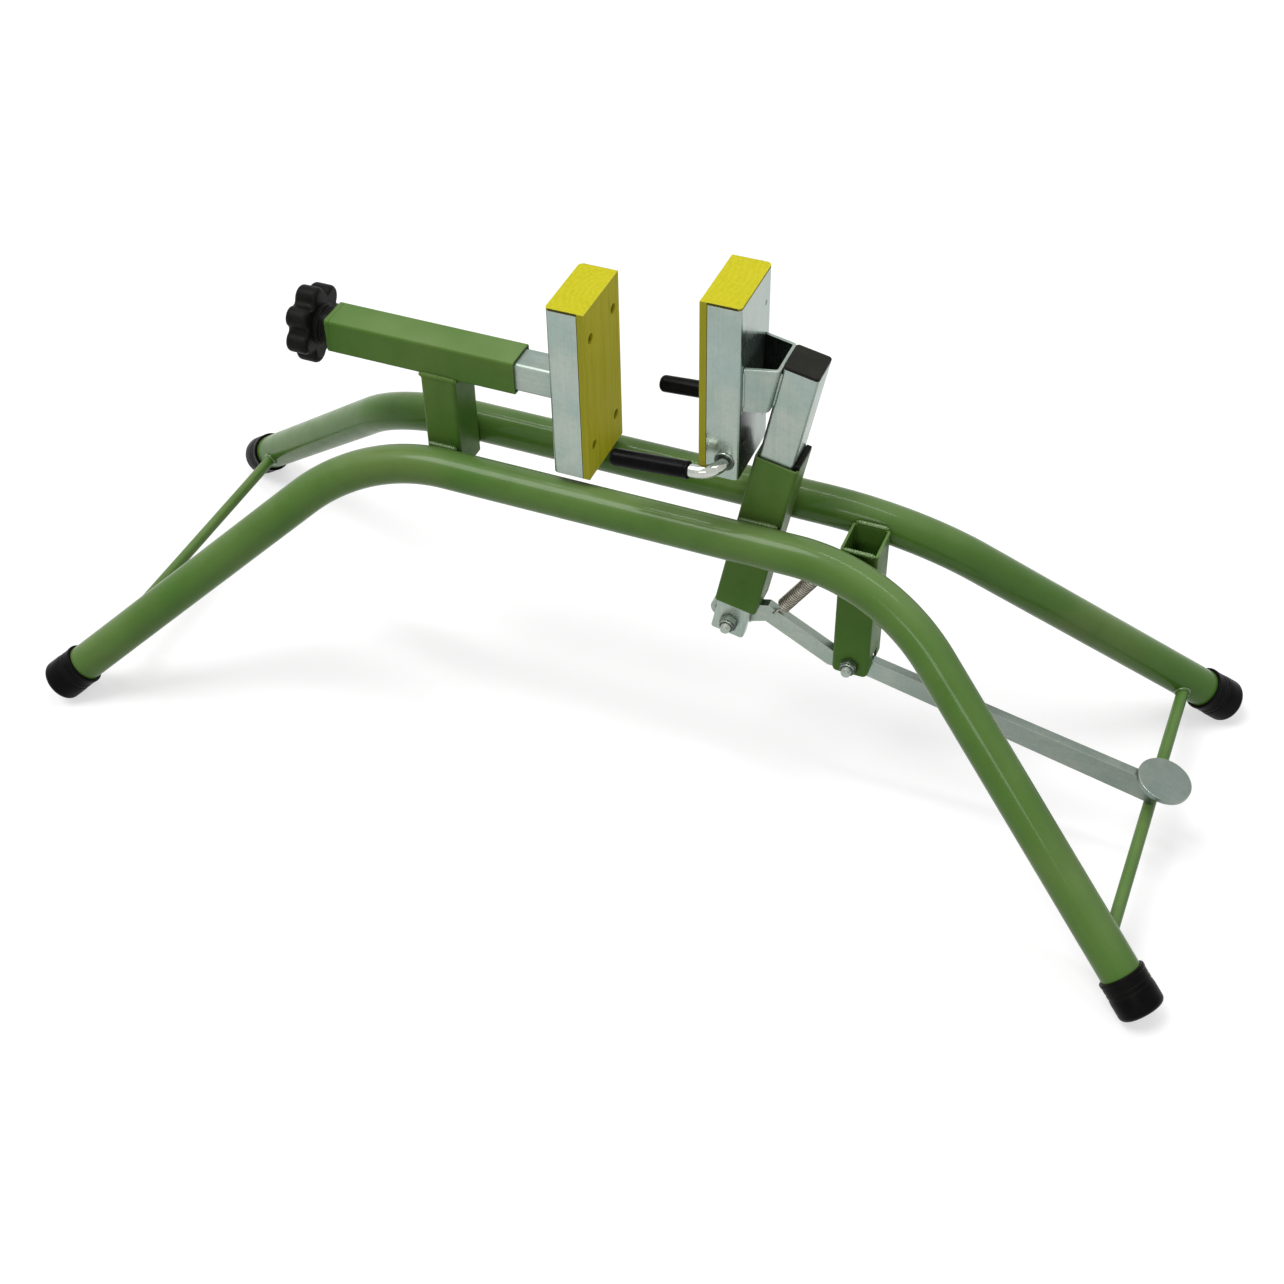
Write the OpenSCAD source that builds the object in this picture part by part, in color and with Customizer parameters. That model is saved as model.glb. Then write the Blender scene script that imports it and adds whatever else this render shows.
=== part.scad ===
// Door jack: a stand of two bent pipes that holds a door on edge between two padded jaws.
// The left jaw is fed along a guide tube by a knob and a screw. The right jaw rides on an
// inclined tube that a foot pedal lifts through a lever.
// X runs along the pipes toward the pedal, Y runs across them and Z points up. The origin
// lies on the floor, midway between the four feet.

/* [Pipes] */
// Outer diameter of the bent pipes
pipe_d = 32; // [28:1:34]
// Wall of the bent pipes
pipe_wall = 2; // [1.5:0.5:4]
// Clear gap between the pipes, filled by the posts and the sleeve
pipe_gap = 35; // [34:1:38]
// Distance between the corners where the two legs of a pipe start
corner_span = 437; // [430:1:450]
// Reach of a leg along X, from its corner to the foot cap
leg_out = 235; // [225:1:245]
// Reach of a leg along Y
leg_side = 128; // [110:1:140]
// Drop of a leg
leg_drop = 207.4; // [203:0.2:212]
// Radius of the bends, to the middle of the pipe
bend_r = 170; // [120:5:190]

/* [Feet and braces] */
// Wall of a foot cap around its pipe
cap_wall = 2.5; // [2:0.5:4]
// Length of a foot cap
cap_len = 33; // [28:1:40]
// Thickness of a foot cap's end
cap_end = 5; // [3:0.5:8]
// Radius of a foot cap's end edge
cap_edge = 5; // [3:0.5:7]
// Depth of the flat that the load presses into a foot cap
cap_flat = 0.7; // [0.2:0.1:1.5]
// Diameter of the brace rods
brace_d = 10; // [8:1:12]
// Place of the braces, as a share of the leg
brace_share = 0.94; // [0.92:0.01:0.96]

/* [Posts and guide] */
// Size of both posts along X
post_x = 30; // [28:1:32]
// Wall of both posts
post_wall = 2; // [1.5:0.5:2.5]
// Centre of the left post along X
left_post_at = -156; // [-170:1:-145]
// Reach of the left post below the pipe axis
left_post_below = 14; // [5:1:20]
// Side of the square guide tube
guide_size = 30; // [30:1:32]
// Wall of the guide tube
guide_wall = 2; // [1.5:0.1:2.2]
// Length of the guide tube
guide_len = 160; // [150:1:180]
// Right end of the guide tube along X
guide_end_at = -90; // [-95:1:-88]
// Height of the guide axis above the pipe axis
guide_rise = 88.5; // [82:0.5:95]
// Thickness of the plate that closes the guide's left end
end_plate_t = 4; // [3:0.5:6]

/* [Left jaw and screw] */
// Side of the square slide tube
slide_size = 25; // [22:0.5:25]
// Wall of the slide tube
slide_wall = 1.5; // [1:0.5:2]
// Length of the slide tube
slide_len = 150; // [140:1:155]
// Outer face of the left jaw's web along X
left_web_at = -52; // [-56:1:-50]
// Reach of the left jaw below the guide axis
left_jaw_below = 65; // [60:1:70]
// Diameter of the screw spindle
spindle_d = 12; // [10:1:14]
// Right end of the spindle along X
spindle_end_at = -126; // [-128:1:-110]
// Length of the spindle nut
spindle_nut_len = 14; // [10:1:18]
// Diameter of the collar that holds the spindle in the guide
collar_d = 18; // [16:1:20]
// Thickness of the collar
collar_t = 4; // [3:0.5:6]

/* [Knob] */
// Number of lobes of the star knob
lobe_count = 7; // [5:1:7]
// Diameter over the lobes
knob_d = 64; // [60:1:68]
// Radius of one lobe
lobe_r = 8.5; // [7.5:0.5:9]
// Radius of the hollows between the lobes
hollow_r = 5; // [4:0.5:7]
// Thickness of the lobed head
head_t = 19; // [18:1:24]
// Rounding of the head's rim
head_round = 5; // [3:0.5:7]
// Diameter of the knob's hub
hub_d = 30; // [26:1:34]
// Length of the hub
hub_len = 9; // [8:1:14]

/* [Jaws] */
// Width of both jaws along Y
jaw_w = 65; // [60:1:68]
// Height of the jaw pads
jaw_h = 150; // [140:1:160]
// Depth of the jaw channels
channel_depth = 25; // [22:1:28]
// Sheet thickness of the channels
channel_t = 3; // [2.5:0.5:3.5]
// Outer bend radius of the channels
channel_corner = 4; // [2:0.5:6]
// How far a pad stands out of its channel
pad_proud = 6; // [4:1:8]
// How far a pad stands above its channel
pad_rise = 2; // [1:0.5:4]
// Distance between the two columns of pad screws
screw_columns = 42; // [36:1:44]
// Distance of the pad screws from the pad's ends
screw_inset = 26.5; // [26:0.5:32]
// Diameter of the pad screws
screw_d = 4; // [4:0.5:5]
// Diameter of a pad screw's head
screw_head_d = 6.5; // [6:0.5:7]
// Height of a pad screw's head
screw_head_t = 3; // [2:0.5:4]
// Diameter of the recess round a screw head
recess_d = 8.5; // [8:0.5:12]
// Depth of the recess
recess_depth = 6; // [5:0.5:8]

/* [Right jaw and bracket] */
// Outer face of the right jaw's web along X
right_web_at = 99.5; // [97:0.5:100.5]
// Height of the right jaw's lower end above the pipe axis
right_jaw_rise = 57.3; // [57.3:0.1:64]
// Width of the bracket where it meets the jaw
bracket_jaw_w = 51; // [44:1:55]
// Width of the bracket where its top meets the inclined tube
bracket_w = 38; // [34:1:42]
// Sheet thickness of the bracket
bracket_t = 3; // [2:0.5:4]
// Lower edge of the bracket above the pipe axis
bracket_low = 116; // [112:1:120]
// Upper edge of the bracket above the pipe axis
bracket_high = 153; // [145:1:153]

/* [Rest rod] */
// Diameter of the rest rod
rod_d = 10; // [8:1:11]
// Distance of the rod's axis from the web's outer face
rod_setback = 10.5; // [9:0.5:13]
// Height of the rod's axis above the jaw's lower end
rod_rise = 15.7; // [14:0.1:16.5]
// Distance between the middles of the two arms
arm_spacing = 100; // [96:1:110]
// Bend radius of the rod, to its middle
rod_bend_r = 16; // [12:1:16]
// Droop of the arms in degrees
arm_droop = 4; // [0:0.5:4.5]
// Reach of the arms from the rod's axis to their covered tips
arm_reach = 84; // [70:1:88]
// Length of the soft sleeves on the arms
rod_sleeve_len = 63; // [45:1:64]
// Outer diameter of the soft sleeves
rod_sleeve_d = 14; // [13:0.5:15]
// Thickness of the washers on the rod
rod_washer_t = 1.5; // [1:0.5:1.5]
// Diameter of the washers on the rod
rod_washer_d = 20; // [16:1:24]

/* [Inclined tube] */
// Lean of the inclined tube from upright, in degrees
incline = 11.2; // [11:0.1:11.4]
// Top of the inclined tube along X
carriage_top_at = 139; // [138:0.5:140]
// Top of the inclined tube above the pipe axis
carriage_top_rise = 150.5; // [148:0.5:153]
// Size of the inclined tube square to Y
carriage_x = 28; // [27:0.5:28]
// Size of the inclined tube along Y
carriage_y = 30; // [28:0.5:30]
// Wall of the inclined tube
carriage_wall = 2; // [1.5:0.5:2.5]
// Length of the inclined tube
carriage_len = 270; // [268:1:274]
// Thickness of the plug's visible rim
plug_t = 3; // [2:0.5:5]
// Depth of the plug inside the tube
plug_depth = 14; // [8:1:20]
// Size of the sleeve square to Y
sleeve_x = 35; // [35:0.5:36]
// Wall of the sleeve
sleeve_wall = 2; // [1.5:0.5:2]
// Distance from the inclined tube's top to the sleeve's top, along the incline
sleeve_from_top = 84; // [82:1:86]
// Distance from the link bolt up to the sleeve's lower end, along the incline
sleeve_above_link = 19; // [19:1:28]
// Length of the wear strip inside the sleeve
strip_len = 60; // [30:1:80]
// Width of the wear strip along Y
strip_w = 28; // [20:1:28]
// Height of the strip's lip above the sleeve
lip_h = 4; // [3:0.5:5]
// How far the jaw and the inclined tube travel down
travel = 40; // [30:1:40]

/* [Lever] */
// Pivot bolt along X
pivot_at = 192; // [190:0.5:194]
// Pivot bolt below the pipe axis
pivot_below = 112; // [110:0.5:114]
// Top of the pivot post above the pipe axis
pivot_post_above = 3; // [0:1:10]
// Reach of the pivot post below its bolt
pivot_post_tail = 10; // [9:0.5:14]
// Top of the lever's slots above the pivot bolt
post_slot_above = 5; // [4:0.5:8]
// Rounding of the pivot post's lower corners
post_corner = 5; // [3:0.5:7]
// Thickness of the lever
lever_t = 8; // [6:0.5:9]
// Height of the lever between link and pivot
lever_h = 16; // [14:0.5:17]
// Height of the lever at the knee
knee_h = 17; // [15:0.5:19]
// Height of the lever at the pedal
arm_end_h = 23; // [20:0.5:24]
// Radius of the lever's lug around the pivot bolt
lug_r = 11.5; // [10:0.5:12]
// Crest of the lever, from the link bolt
crest_from_link = [28, 8.1];
// Dip of the lever, from the pivot bolt
dip_from_pivot = [-20, -11.5];
// Knee of the lever along X, from the pivot bolt
knee_from_pivot = 14; // [12:1:18]
// Fall of the pedal arm, in degrees
arm_fall = 12.7; // [12.3:0.1:13]
// Diameter of the two bolts
bolt_d = 8; // [6:0.5:8]
// Width across the flats of bolt heads and nuts
hex_flats = 13; // [10:0.5:14]
// Height of a bolt head
hex_head_t = 5.3; // [4:0.1:6]
// Height of a nut
nut_t = 8; // [5:0.5:9]
// How far a bolt stands out of its nut
bolt_tail = 4.5; // [2:0.5:6]
// Distance of the link bolt from the inclined tube's lower end
link_inset = 13; // [12:0.5:15]
// Diameter of the pedal disc
pedal_d = 43.5; // [40:0.5:50]
// Thickness of the pedal disc
pedal_t = 4.5; // [3:0.5:6]

/* [Return spring] */
// Wire diameter of the return spring
wire_d = 1.7; // [1.4:0.1:1.8]
// Outer diameter of the return spring
spring_od = 12.4; // [12.4:0.2:14]
// Curls of the return spring
curl_count = 21; // [15:1:23]
// Straight reach of the wire between a hook and the curls
hook_reach = 9; // [8:0.5:12]
// Hook hole in the lever, from the crest
hook_from_crest = [6, 2.4];
// Hook hole in the spring eye below the pipe axis
eye_below = 22; // [20:1:40]
// Distance of the eye's hole from the pivot post
eye_out = 4.5; // [4:0.5:6]
// Thickness of the eye plate
eye_t = 3; // [2:0.5:4]
// Diameter of the hook holes
hook_hole_d = 3; // [2.6:0.1:3.4]

/* [Clearances] */
// Play around a fastener in its hole
fastener_play = 0.1; // [0.05:0.05:0.2]
// Play of a turning pin in its bore
turning_play = 0.05; // [0.02:0.01:0.1]
// Play between pieces that slide
sliding_play = 0.3; // [0.2:0.1:0.5]
// Play around the link bolt in the lever's slot
link_play = 1.3; // [1.2:0.1:1.6]
// Play beside the lever in its slots
lever_side_play = 1.5; // [1:0.5:2.5]
// Gap between the resting lever and the brace
rest_gap = 0.6; // [0.4:0.1:1]

/* [Hidden] */
$fn = 48;
tube_corner = 3;
leg_len = norm([leg_out, leg_side, leg_drop]);
leg_polar = 180 - acos(leg_drop / leg_len);
leg_lean = atan2(leg_side, leg_drop);
bend_angle = acos(leg_out / leg_len);
bend_tangent = bend_r * tan(bend_angle / 2);
pipe_y = (pipe_gap + pipe_d) / 2;
cap_r = pipe_d / 2 + cap_wall;

// Height of the pipe axis: the lowest point of a foot cap lies on the floor
leg_fall = leg_drop / leg_len;
pipe_z = leg_drop + (cap_len - cap_edge) * leg_fall
    + (cap_r - cap_edge) * sqrt(1 - leg_fall * leg_fall) + cap_edge - cap_flat;

brace_x = corner_span / 2 + brace_share * leg_out;
brace_y = pipe_y + brace_share * leg_side;
brace_z = pipe_z - brace_share * leg_drop;

guide_z = pipe_z + guide_rise;
guide_start = guide_end_at - guide_len;
knob_x = guide_start - end_plate_t - sliding_play;

pad_w = jaw_w - 2 * channel_t;
pad_depth = channel_depth - channel_t + pad_proud;
left_jaw_z = guide_z - left_jaw_below;
right_jaw_z = pipe_z + right_jaw_rise;
rod_x = right_web_at - rod_setback;
rod_z = right_jaw_z + rod_rise;

sleeve_len = carriage_len - link_inset - sleeve_above_link - sleeve_from_top;
sleeve_inner = sleeve_x - 2 * sleeve_wall;
sleeve_shift = sleeve_inner / 2 - carriage_x / 2 - sliding_play;
strip_t = sleeve_inner - carriage_x - 2 * sliding_play;

// Points of the lever's side view are [x, height above the floor]
incline_down = [-sin(incline), -cos(incline)];
carriage_top = [carriage_top_at, pipe_z + carriage_top_rise];
link = carriage_top + (carriage_len - link_inset) * incline_down;
link_low = link + travel * incline_down;
pivot = [pivot_at, pipe_z - pivot_below];
link_radius = norm(link - pivot);
// In the lever the link bolt moves outward along this line as the tube goes down
slot_end = pivot + (link - pivot) * norm(link_low - pivot) / link_radius;
crest = link + crest_from_link;
dip = pivot + dip_from_pivot;
arm_along = [cos(arm_fall), -sin(arm_fall)];
arm_up = [sin(arm_fall), cos(arm_fall)];
arm_end = [brace_x, brace_z] + arm_up * (brace_d / 2 + rest_gap + arm_end_h / 2);
knee = arm_end - arm_along * (arm_end[0] - pivot[0] - knee_from_pivot) / cos(arm_fall);
lever_slot_w = lever_t + 2 * lever_side_play;
slot_w = bolt_d + 2 * link_play;
end_h = slot_w + lever_h / 2;

// The spring's two hook holes
hook = crest + hook_from_crest;
eye = [pivot[0] - post_x / 2 - eye_out, pipe_z - eye_below];

// Shared shapes

function unit(v) = v / norm(v);

function without(v, axis) = v - axis * (v * axis);

// Direction of a path at each of its points, halfway between the stretches that meet there
function tangents(points) =
    let (last = len(points) - 1)
    [
        for (i = [0 : last])
            let (
                into = unit(points[max(i, 1)] - points[max(i, 1) - 1]),
                onward = unit(points[min(i, last - 1) + 1] - points[min(i, last - 1)])
            )
            unit(into + onward)
    ];

// Rings of points round a path, carried along it without twist
function sweep_rings(points, d, sides) =
    let (
        last = len(points) - 1,
        along = tangents(points),
        start = abs(along[0][1]) < 0.5 ? [0, 1, 0] : [0, 0, 1],
        across = [
            for (i = 0, n = start; i <= last; i = i + 1, n = unit(without(n, along[min(i, last)])))
                unit(without(n, along[i]))
        ]
    )
    [
        for (i = [0 : last], k = [0 : sides - 1])
            points[i] + d / 2 * (cos(360 * k / sides) * across[i]
                + sin(360 * k / sides) * cross(along[i], across[i]))
    ];

// Triangles between two rings that start at the points from and to
function ring_faces(from, to, sides) = [
    for (k = [0 : sides - 1], half = [0, 1])
        let (next = (k + 1) % sides)
            half == 0 ? [from + k, to + k, to + next] : [from + k, to + next, from + next]
];

// A tube with a bore along a path
module hollow_sweep(points, outer_d, inner_d, sides) {
    last = len(points) - 1;
    count = len(points) * sides;
    rings = concat(sweep_rings(points, outer_d, sides), sweep_rings(points, inner_d, sides));
    outside = [for (i = [0 : last - 1]) each ring_faces(i * sides, (i + 1) * sides, sides)];
    inside = [
        for (i = [0 : last - 1]) each ring_faces(count + (i + 1) * sides, count + i * sides, sides)
    ];
    first_end = ring_faces(count, 0, sides);
    last_end = ring_faces(last * sides, count + last * sides, sides);
    polyhedron(points = rings, faces = concat(outside, inside, first_end, last_end));
}

module rounded_rect(size_x, size_y, corner) {
    square([size_x - 2 * corner, size_y], center = true);
    square([size_x, size_y - 2 * corner], center = true);
    for (sx = [-1, 1], sy = [-1, 1])
        translate([sx * (size_x / 2 - corner), sy * (size_y / 2 - corner)])
            circle(r = corner);
}

module tube_profile(size_x, size_y, wall) {
    difference() {
        rounded_rect(size_x, size_y, tube_corner);
        rounded_rect(size_x - 2 * wall, size_y - 2 * wall, max(tube_corner - wall, 0.5));
    }
}

// A side view given in X and Z, made as thick as width along Y
module across(width) {
    rotate([90, 0, 0])
        linear_extrude(width, center = true)
            children();
}

// A cylinder along Y, centred
module cross_pin(d, length) {
    rotate([90, 0, 0])
        cylinder(d = d, h = length, center = true);
}

// A closed sleeve along Z with its open end at the origin
module boot(outer_d, bore_d, length, end_t, edge) {
    outer_r = outer_d / 2;
    rotate_extrude()
        difference() {
            intersection() {
                union() {
                    square([outer_r, length - edge]);
                    square([outer_r - edge, length]);
                    translate([outer_r - edge, length - edge])
                        circle(r = edge);
                }
                square([outer_r, length]);
            }
            translate([0, -1])
                square([bore_d / 2, length - end_t + 1]);
        }
}

module hexagon_bar(length) {
    cylinder(d = hex_flats / cos(30), h = length, $fn = 6);
}

// A bolt along Y with its head behind half_w and its tail in front of the nut
module cross_bolt(half_w) {
    tail = half_w + nut_t + bolt_tail;
    translate([0, half_w, 0])
        rotate([90, 0, 0])
            cylinder(d = bolt_d, h = half_w + tail);
    translate([0, half_w, 0])
        rotate([-90, 0, 0])
            hexagon_bar(hex_head_t);
}

module cross_nut(half_w) {
    translate([0, -half_w, 0])
        rotate([90, 0, 0])
            difference() {
                hexagon_bar(nut_t);
                translate([0, 0, -1])
                    cylinder(d = bolt_d, h = nut_t + 2);
            }
}

// Frame

// Middle line of one side of a pipe in the plane of its legs: the bend, then the end of the leg
bend_steps = 12;
straight_end = corner_span / 2 - bend_tangent;
leg_reach = leg_len + cap_len - cap_end;
pipe_side = concat(
    [
        for (i = [0 : bend_steps])
            let (a = bend_angle * i / bend_steps)
                [straight_end + bend_r * sin(a), 0, bend_r * (cos(a) - 1)]
    ],
    [[corner_span / 2 + leg_reach * cos(bend_angle), 0, -leg_reach * sin(bend_angle)]]
);
pipe_points = concat(
    [for (i = [len(pipe_side) - 1 : -1 : 0]) [-pipe_side[i][0], 0, pipe_side[i][2]]],
    pipe_side
);

module bent_pipe(side_y) {
    color("olivedrab")
        translate([0, side_y * pipe_y, pipe_z])
            rotate([side_y * leg_lean, 0, 0])
                hollow_sweep(pipe_points, pipe_d, pipe_d - 2 * pipe_wall, 32);
}

// Moves its children to a leg's corner, with Z running down the leg
module on_leg(side_x, side_y) {
    translate([side_x * corner_span / 2, side_y * pipe_y, pipe_z])
        rotate([0, leg_polar, atan2(side_y * leg_side, side_x * leg_out)])
            children();
}

module foot_cap(side_x, side_y) {
    color("dimgray")
        difference() {
            on_leg(side_x, side_y)
                translate([0, 0, leg_len])
                    boot(2 * cap_r, pipe_d, cap_len, cap_end, cap_edge);
            translate([-corner_span, -corner_span, -pipe_z])
                cube([2 * corner_span, 2 * corner_span, pipe_z]);
        }
}

module brace(side_x) {
    color("olivedrab")
        difference() {
            translate([side_x * brace_x, 0, brace_z])
                cross_pin(brace_d, 2 * brace_y);
            for (side_y = [-1, 1])
                on_leg(side_x, side_y)
                    cylinder(d = pipe_d, h = leg_len + cap_len);
        }
}

module left_post() {
    low = pipe_z - left_post_below;
    color("olivedrab")
        translate([left_post_at, 0, low])
            linear_extrude(guide_z - guide_size / 2 - low)
                tube_profile(post_x, pipe_gap, post_wall);
}

module guide_tube() {
    color("olivedrab")
        translate([guide_start, 0, guide_z])
            rotate([90, 0, 90])
                linear_extrude(guide_len)
                    tube_profile(guide_size, guide_size, guide_wall);
}

module guide_end_plate() {
    color("olivedrab")
        translate([guide_start - end_plate_t, 0, guide_z])
            rotate([90, 0, 90])
                linear_extrude(end_plate_t)
                    difference() {
                        rounded_rect(guide_size, guide_size, tube_corner);
                        circle(d = spindle_d + 2 * turning_play);
                    }
}

// Moves its children to the inclined tube's top, with Z pointing up along the incline
module on_incline() {
    translate([carriage_top[0], 0, carriage_top[1]])
        rotate([0, incline, 0])
            children();
}

module inclined_sleeve() {
    color("olivedrab")
        on_incline()
            translate([sleeve_shift, 0, -sleeve_from_top - sleeve_len])
                linear_extrude(sleeve_len)
                    tube_profile(sleeve_x, pipe_gap, sleeve_wall);
}

module wear_strip() {
    outer = sleeve_shift + sleeve_inner / 2;
    lip_w = strip_t + sleeve_wall;
    color("dimgray")
        on_incline()
            across(strip_w) {
                translate([outer - strip_t, -sleeve_from_top - strip_len])
                    square([strip_t, strip_len + lip_h / 2]);
                translate([outer - strip_t + lip_w / 2, -sleeve_from_top + lip_h / 2])
                    rounded_rect(lip_w, lip_h, min(lip_h, lip_w) / 4);
            }
}

module pivot_post() {
    low = pivot[1] - pivot_post_tail;
    height = pipe_z + pivot_post_above - low;
    color("olivedrab")
        difference() {
            intersection() {
                translate([pivot[0], 0, low])
                    linear_extrude(height)
                        tube_profile(post_x, pipe_gap, post_wall);
                translate([pivot[0], 0, low + height])
                    across(2 * pipe_gap)
                        rounded_rect(post_x, 2 * height, post_corner);
            }
            translate([pivot[0], 0, pivot[1]])
                cross_pin(bolt_d + 2 * fastener_play, 2 * pipe_gap);
            translate([pivot[0] - post_x, -lever_slot_w / 2, low - 1])
                cube([2 * post_x, lever_slot_w, 1 + pivot_post_tail + post_slot_above]);
        }
}

module spring_eye() {
    face = pivot[0] - post_x / 2;
    color("olivedrab")
        translate([0, 0, eye[1]])
            across(eye_t)
                difference() {
                    union() {
                        translate([face - eye_out, 0])
                            circle(d = 2 * eye_out);
                        translate([face - eye_out, -eye_out])
                            square([eye_out, 2 * eye_out]);
                    }
                    translate([face - eye_out, 0])
                        circle(d = hook_hole_d);
                }
}

module pivot_bolt() {
    color("silver")
        translate([pivot[0], 0, pivot[1]])
            cross_bolt(pipe_gap / 2);
}

module pivot_nut() {
    color("silver")
        translate([pivot[0], 0, pivot[1]])
            cross_nut(pipe_gap / 2);
}

// Jaws

// Moves its children to a jaw's web: X points out of the channel, Z starts at the lower end
module at_jaw(web_at, facing, low) {
    translate([web_at, 0, low])
        mirror([facing < 0 ? 1 : 0, 0, 0])
            children();
}

// Plan of a jaw from its web's outer face to reach, with the web's corners rounded
module jaw_plan(reach) {
    difference() {
        translate([reach, 0])
            rounded_rect(2 * reach, jaw_w, channel_corner);
        translate([reach, -jaw_w])
            square([2 * reach, 2 * jaw_w]);
    }
}

module jaw_channel() {
    color("silver")
        linear_extrude(jaw_h - pad_rise)
            difference() {
                jaw_plan(channel_depth);
                translate([channel_t, -pad_w / 2])
                    square([channel_depth, pad_w]);
            }
}

// The pad fills the channel, covers its edges in front and lies over its upper end
module jaw_pad() {
    color("gold") {
        translate([channel_t, -pad_w / 2, 0])
            cube([pad_depth, pad_w, jaw_h]);
        translate([channel_depth, -jaw_w / 2, 0])
            cube([channel_t + pad_depth - channel_depth, jaw_w, jaw_h]);
        translate([0, 0, jaw_h - pad_rise])
            linear_extrude(pad_rise)
                jaw_plan(channel_t + pad_depth);
    }
}

// Puts its children at the four pad screws, with Z pointing out of the pad
module at_screws() {
    for (y = [-0.5, 0.5] * screw_columns, z = [screw_inset, jaw_h - screw_inset])
        translate([0, y, z])
            rotate([0, 90, 0])
                children();
}

module screw_holes() {
    at_screws() {
        translate([0, 0, -1])
            cylinder(d = screw_d + 2 * fastener_play, h = channel_t + pad_depth + 2);
        translate([0, 0, channel_t + pad_depth - recess_depth])
            cylinder(d = recess_d, h = recess_depth + 1);
    }
}

module pad_screws() {
    seat = channel_t + pad_depth - recess_depth;
    color("silver")
        at_screws() {
            cylinder(d = screw_d, h = seat + screw_head_t / 2);
            translate([0, 0, seat])
                cylinder(d = screw_head_d, h = screw_head_t);
        }
}

module at_left_jaw() {
    at_jaw(left_web_at, 1, left_jaw_z)
        children();
}

module at_right_jaw() {
    at_jaw(right_web_at, -1, right_jaw_z)
        children();
}

module left_jaw_channel() {
    at_left_jaw()
        difference() {
            jaw_channel();
            screw_holes();
        }
}

module left_jaw_pad() {
    at_left_jaw()
        difference() {
            jaw_pad();
            screw_holes();
        }
}

module left_pad_screws() {
    at_left_jaw()
        pad_screws();
}

module rod_hole() {
    translate([rod_setback, 0, rod_rise])
        cross_pin(rod_d + 2 * fastener_play, 2 * jaw_w);
}

module right_jaw_channel() {
    at_right_jaw()
        difference() {
            jaw_channel();
            screw_holes();
            rod_hole();
        }
}

module right_jaw_pad() {
    at_right_jaw()
        difference() {
            jaw_pad();
            screw_holes();
            rod_hole();
        }
}

module right_pad_screws() {
    at_right_jaw()
        pad_screws();
}

// Left jaw drive

module slide_tube() {
    color("silver")
        translate([left_web_at - slide_len, 0, guide_z])
            rotate([90, 0, 90])
                linear_extrude(slide_len)
                    tube_profile(slide_size, slide_size, slide_wall);
}

module spindle_nut() {
    inner = slide_size - 2 * slide_wall;
    color("silver")
        translate([left_web_at - slide_len, 0, guide_z])
            rotate([90, 0, 90])
                linear_extrude(spindle_nut_len)
                    difference() {
                        rounded_rect(inner, inner, max(tube_corner - slide_wall, 0.5));
                        circle(d = spindle_d + 2 * turning_play);
                    }
}

module spindle() {
    seat = knob_x - hub_len;
    color("silver")
        translate([seat, 0, guide_z])
            rotate([0, 90, 0]) {
                cylinder(d = spindle_d, h = spindle_end_at - seat);
                translate([0, 0, guide_start + sliding_play - seat])
                    cylinder(d = collar_d, h = collar_t);
            }
}

// Outline of the lobed head: lobes, and between them hollows that run smoothly into them
module star_outline() {
    step = 360 / lobe_count;
    lobe_at = knob_d / 2 - lobe_r;
    middle = lobe_at * cos(step / 2);
    side = lobe_at * sin(step / 2);
    hollow_at = middle + sqrt(pow(lobe_r + hollow_r, 2) - side * side);
    difference() {
        for (i = [0 : lobe_count - 1])
            rotate(i * step) {
                translate([lobe_at, 0])
                    circle(r = lobe_r);
                rotate(step / 2)
                    polygon([[0, 0], [middle, -side], [hollow_at, 0], [middle, side]]);
            }
        for (i = [0 : lobe_count - 1])
            rotate((i + 0.5) * step)
                translate([hollow_at, 0])
                    circle(r = hollow_r);
    }
}

module star_knob() {
    color("dimgray")
        translate([knob_x, 0, guide_z])
            rotate([0, -90, 0])
                difference() {
                    union() {
                        cylinder(d = hub_d, h = hub_len + 1);
                        translate([0, 0, hub_len])
                            intersection() {
                                linear_extrude(head_t)
                                    star_outline();
                                rotate_extrude()
                                    translate([0, head_t / 2])
                                        intersection() {
                                            rounded_rect(knob_d, head_t, head_round);
                                            translate([0, -head_t])
                                                square([knob_d, 2 * head_t]);
                                        }
                            }
                    }
                    translate([0, 0, -1])
                        cylinder(d = spindle_d, h = hub_len + 1);
                }
}

// Right jaw's carrier

// The inclined tube's left face along X, at a height
function tube_face(z) =
    carriage_top[0] - carriage_x / 2 / cos(incline) - (carriage_top[1] - z) * tan(incline);

// Plan of the bracket between two places along X, drawn in by inset on each flange
module bracket_plan(from, to, inset) {
    narrowing = (bracket_jaw_w - bracket_w) / 2 / (tube_face(pipe_z + bracket_high) - right_web_at);
    from_y = bracket_jaw_w / 2 - (from - right_web_at) * narrowing - inset;
    to_y = bracket_jaw_w / 2 - (to - right_web_at) * narrowing - inset;
    polygon([[from, -from_y], [to, -to_y], [to, to_y], [from, from_y]]);
}

// One step of the bracket's shape: its plan between the web's side and the inclined tube's side
module bracket_block(from, sheet, inset, extra) {
    low = pipe_z + bracket_low - extra;
    high = pipe_z + bracket_high + extra;
    intersection() {
        translate([0, 0, low])
            linear_extrude(high - low)
                bracket_plan(from, tube_face(high), inset);
        across(2 * bracket_jaw_w)
            polygon([
                [from, low],
                [tube_face(low) - sheet, low],
                [tube_face(high) - sheet, high],
                [from, high]
            ]);
    }
}

module jaw_bracket() {
    color("silver")
        difference() {
            bracket_block(right_web_at, 0, 0, 0);
            bracket_block(right_web_at - 1, bracket_t / cos(incline), bracket_t, 1);
        }
}

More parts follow.
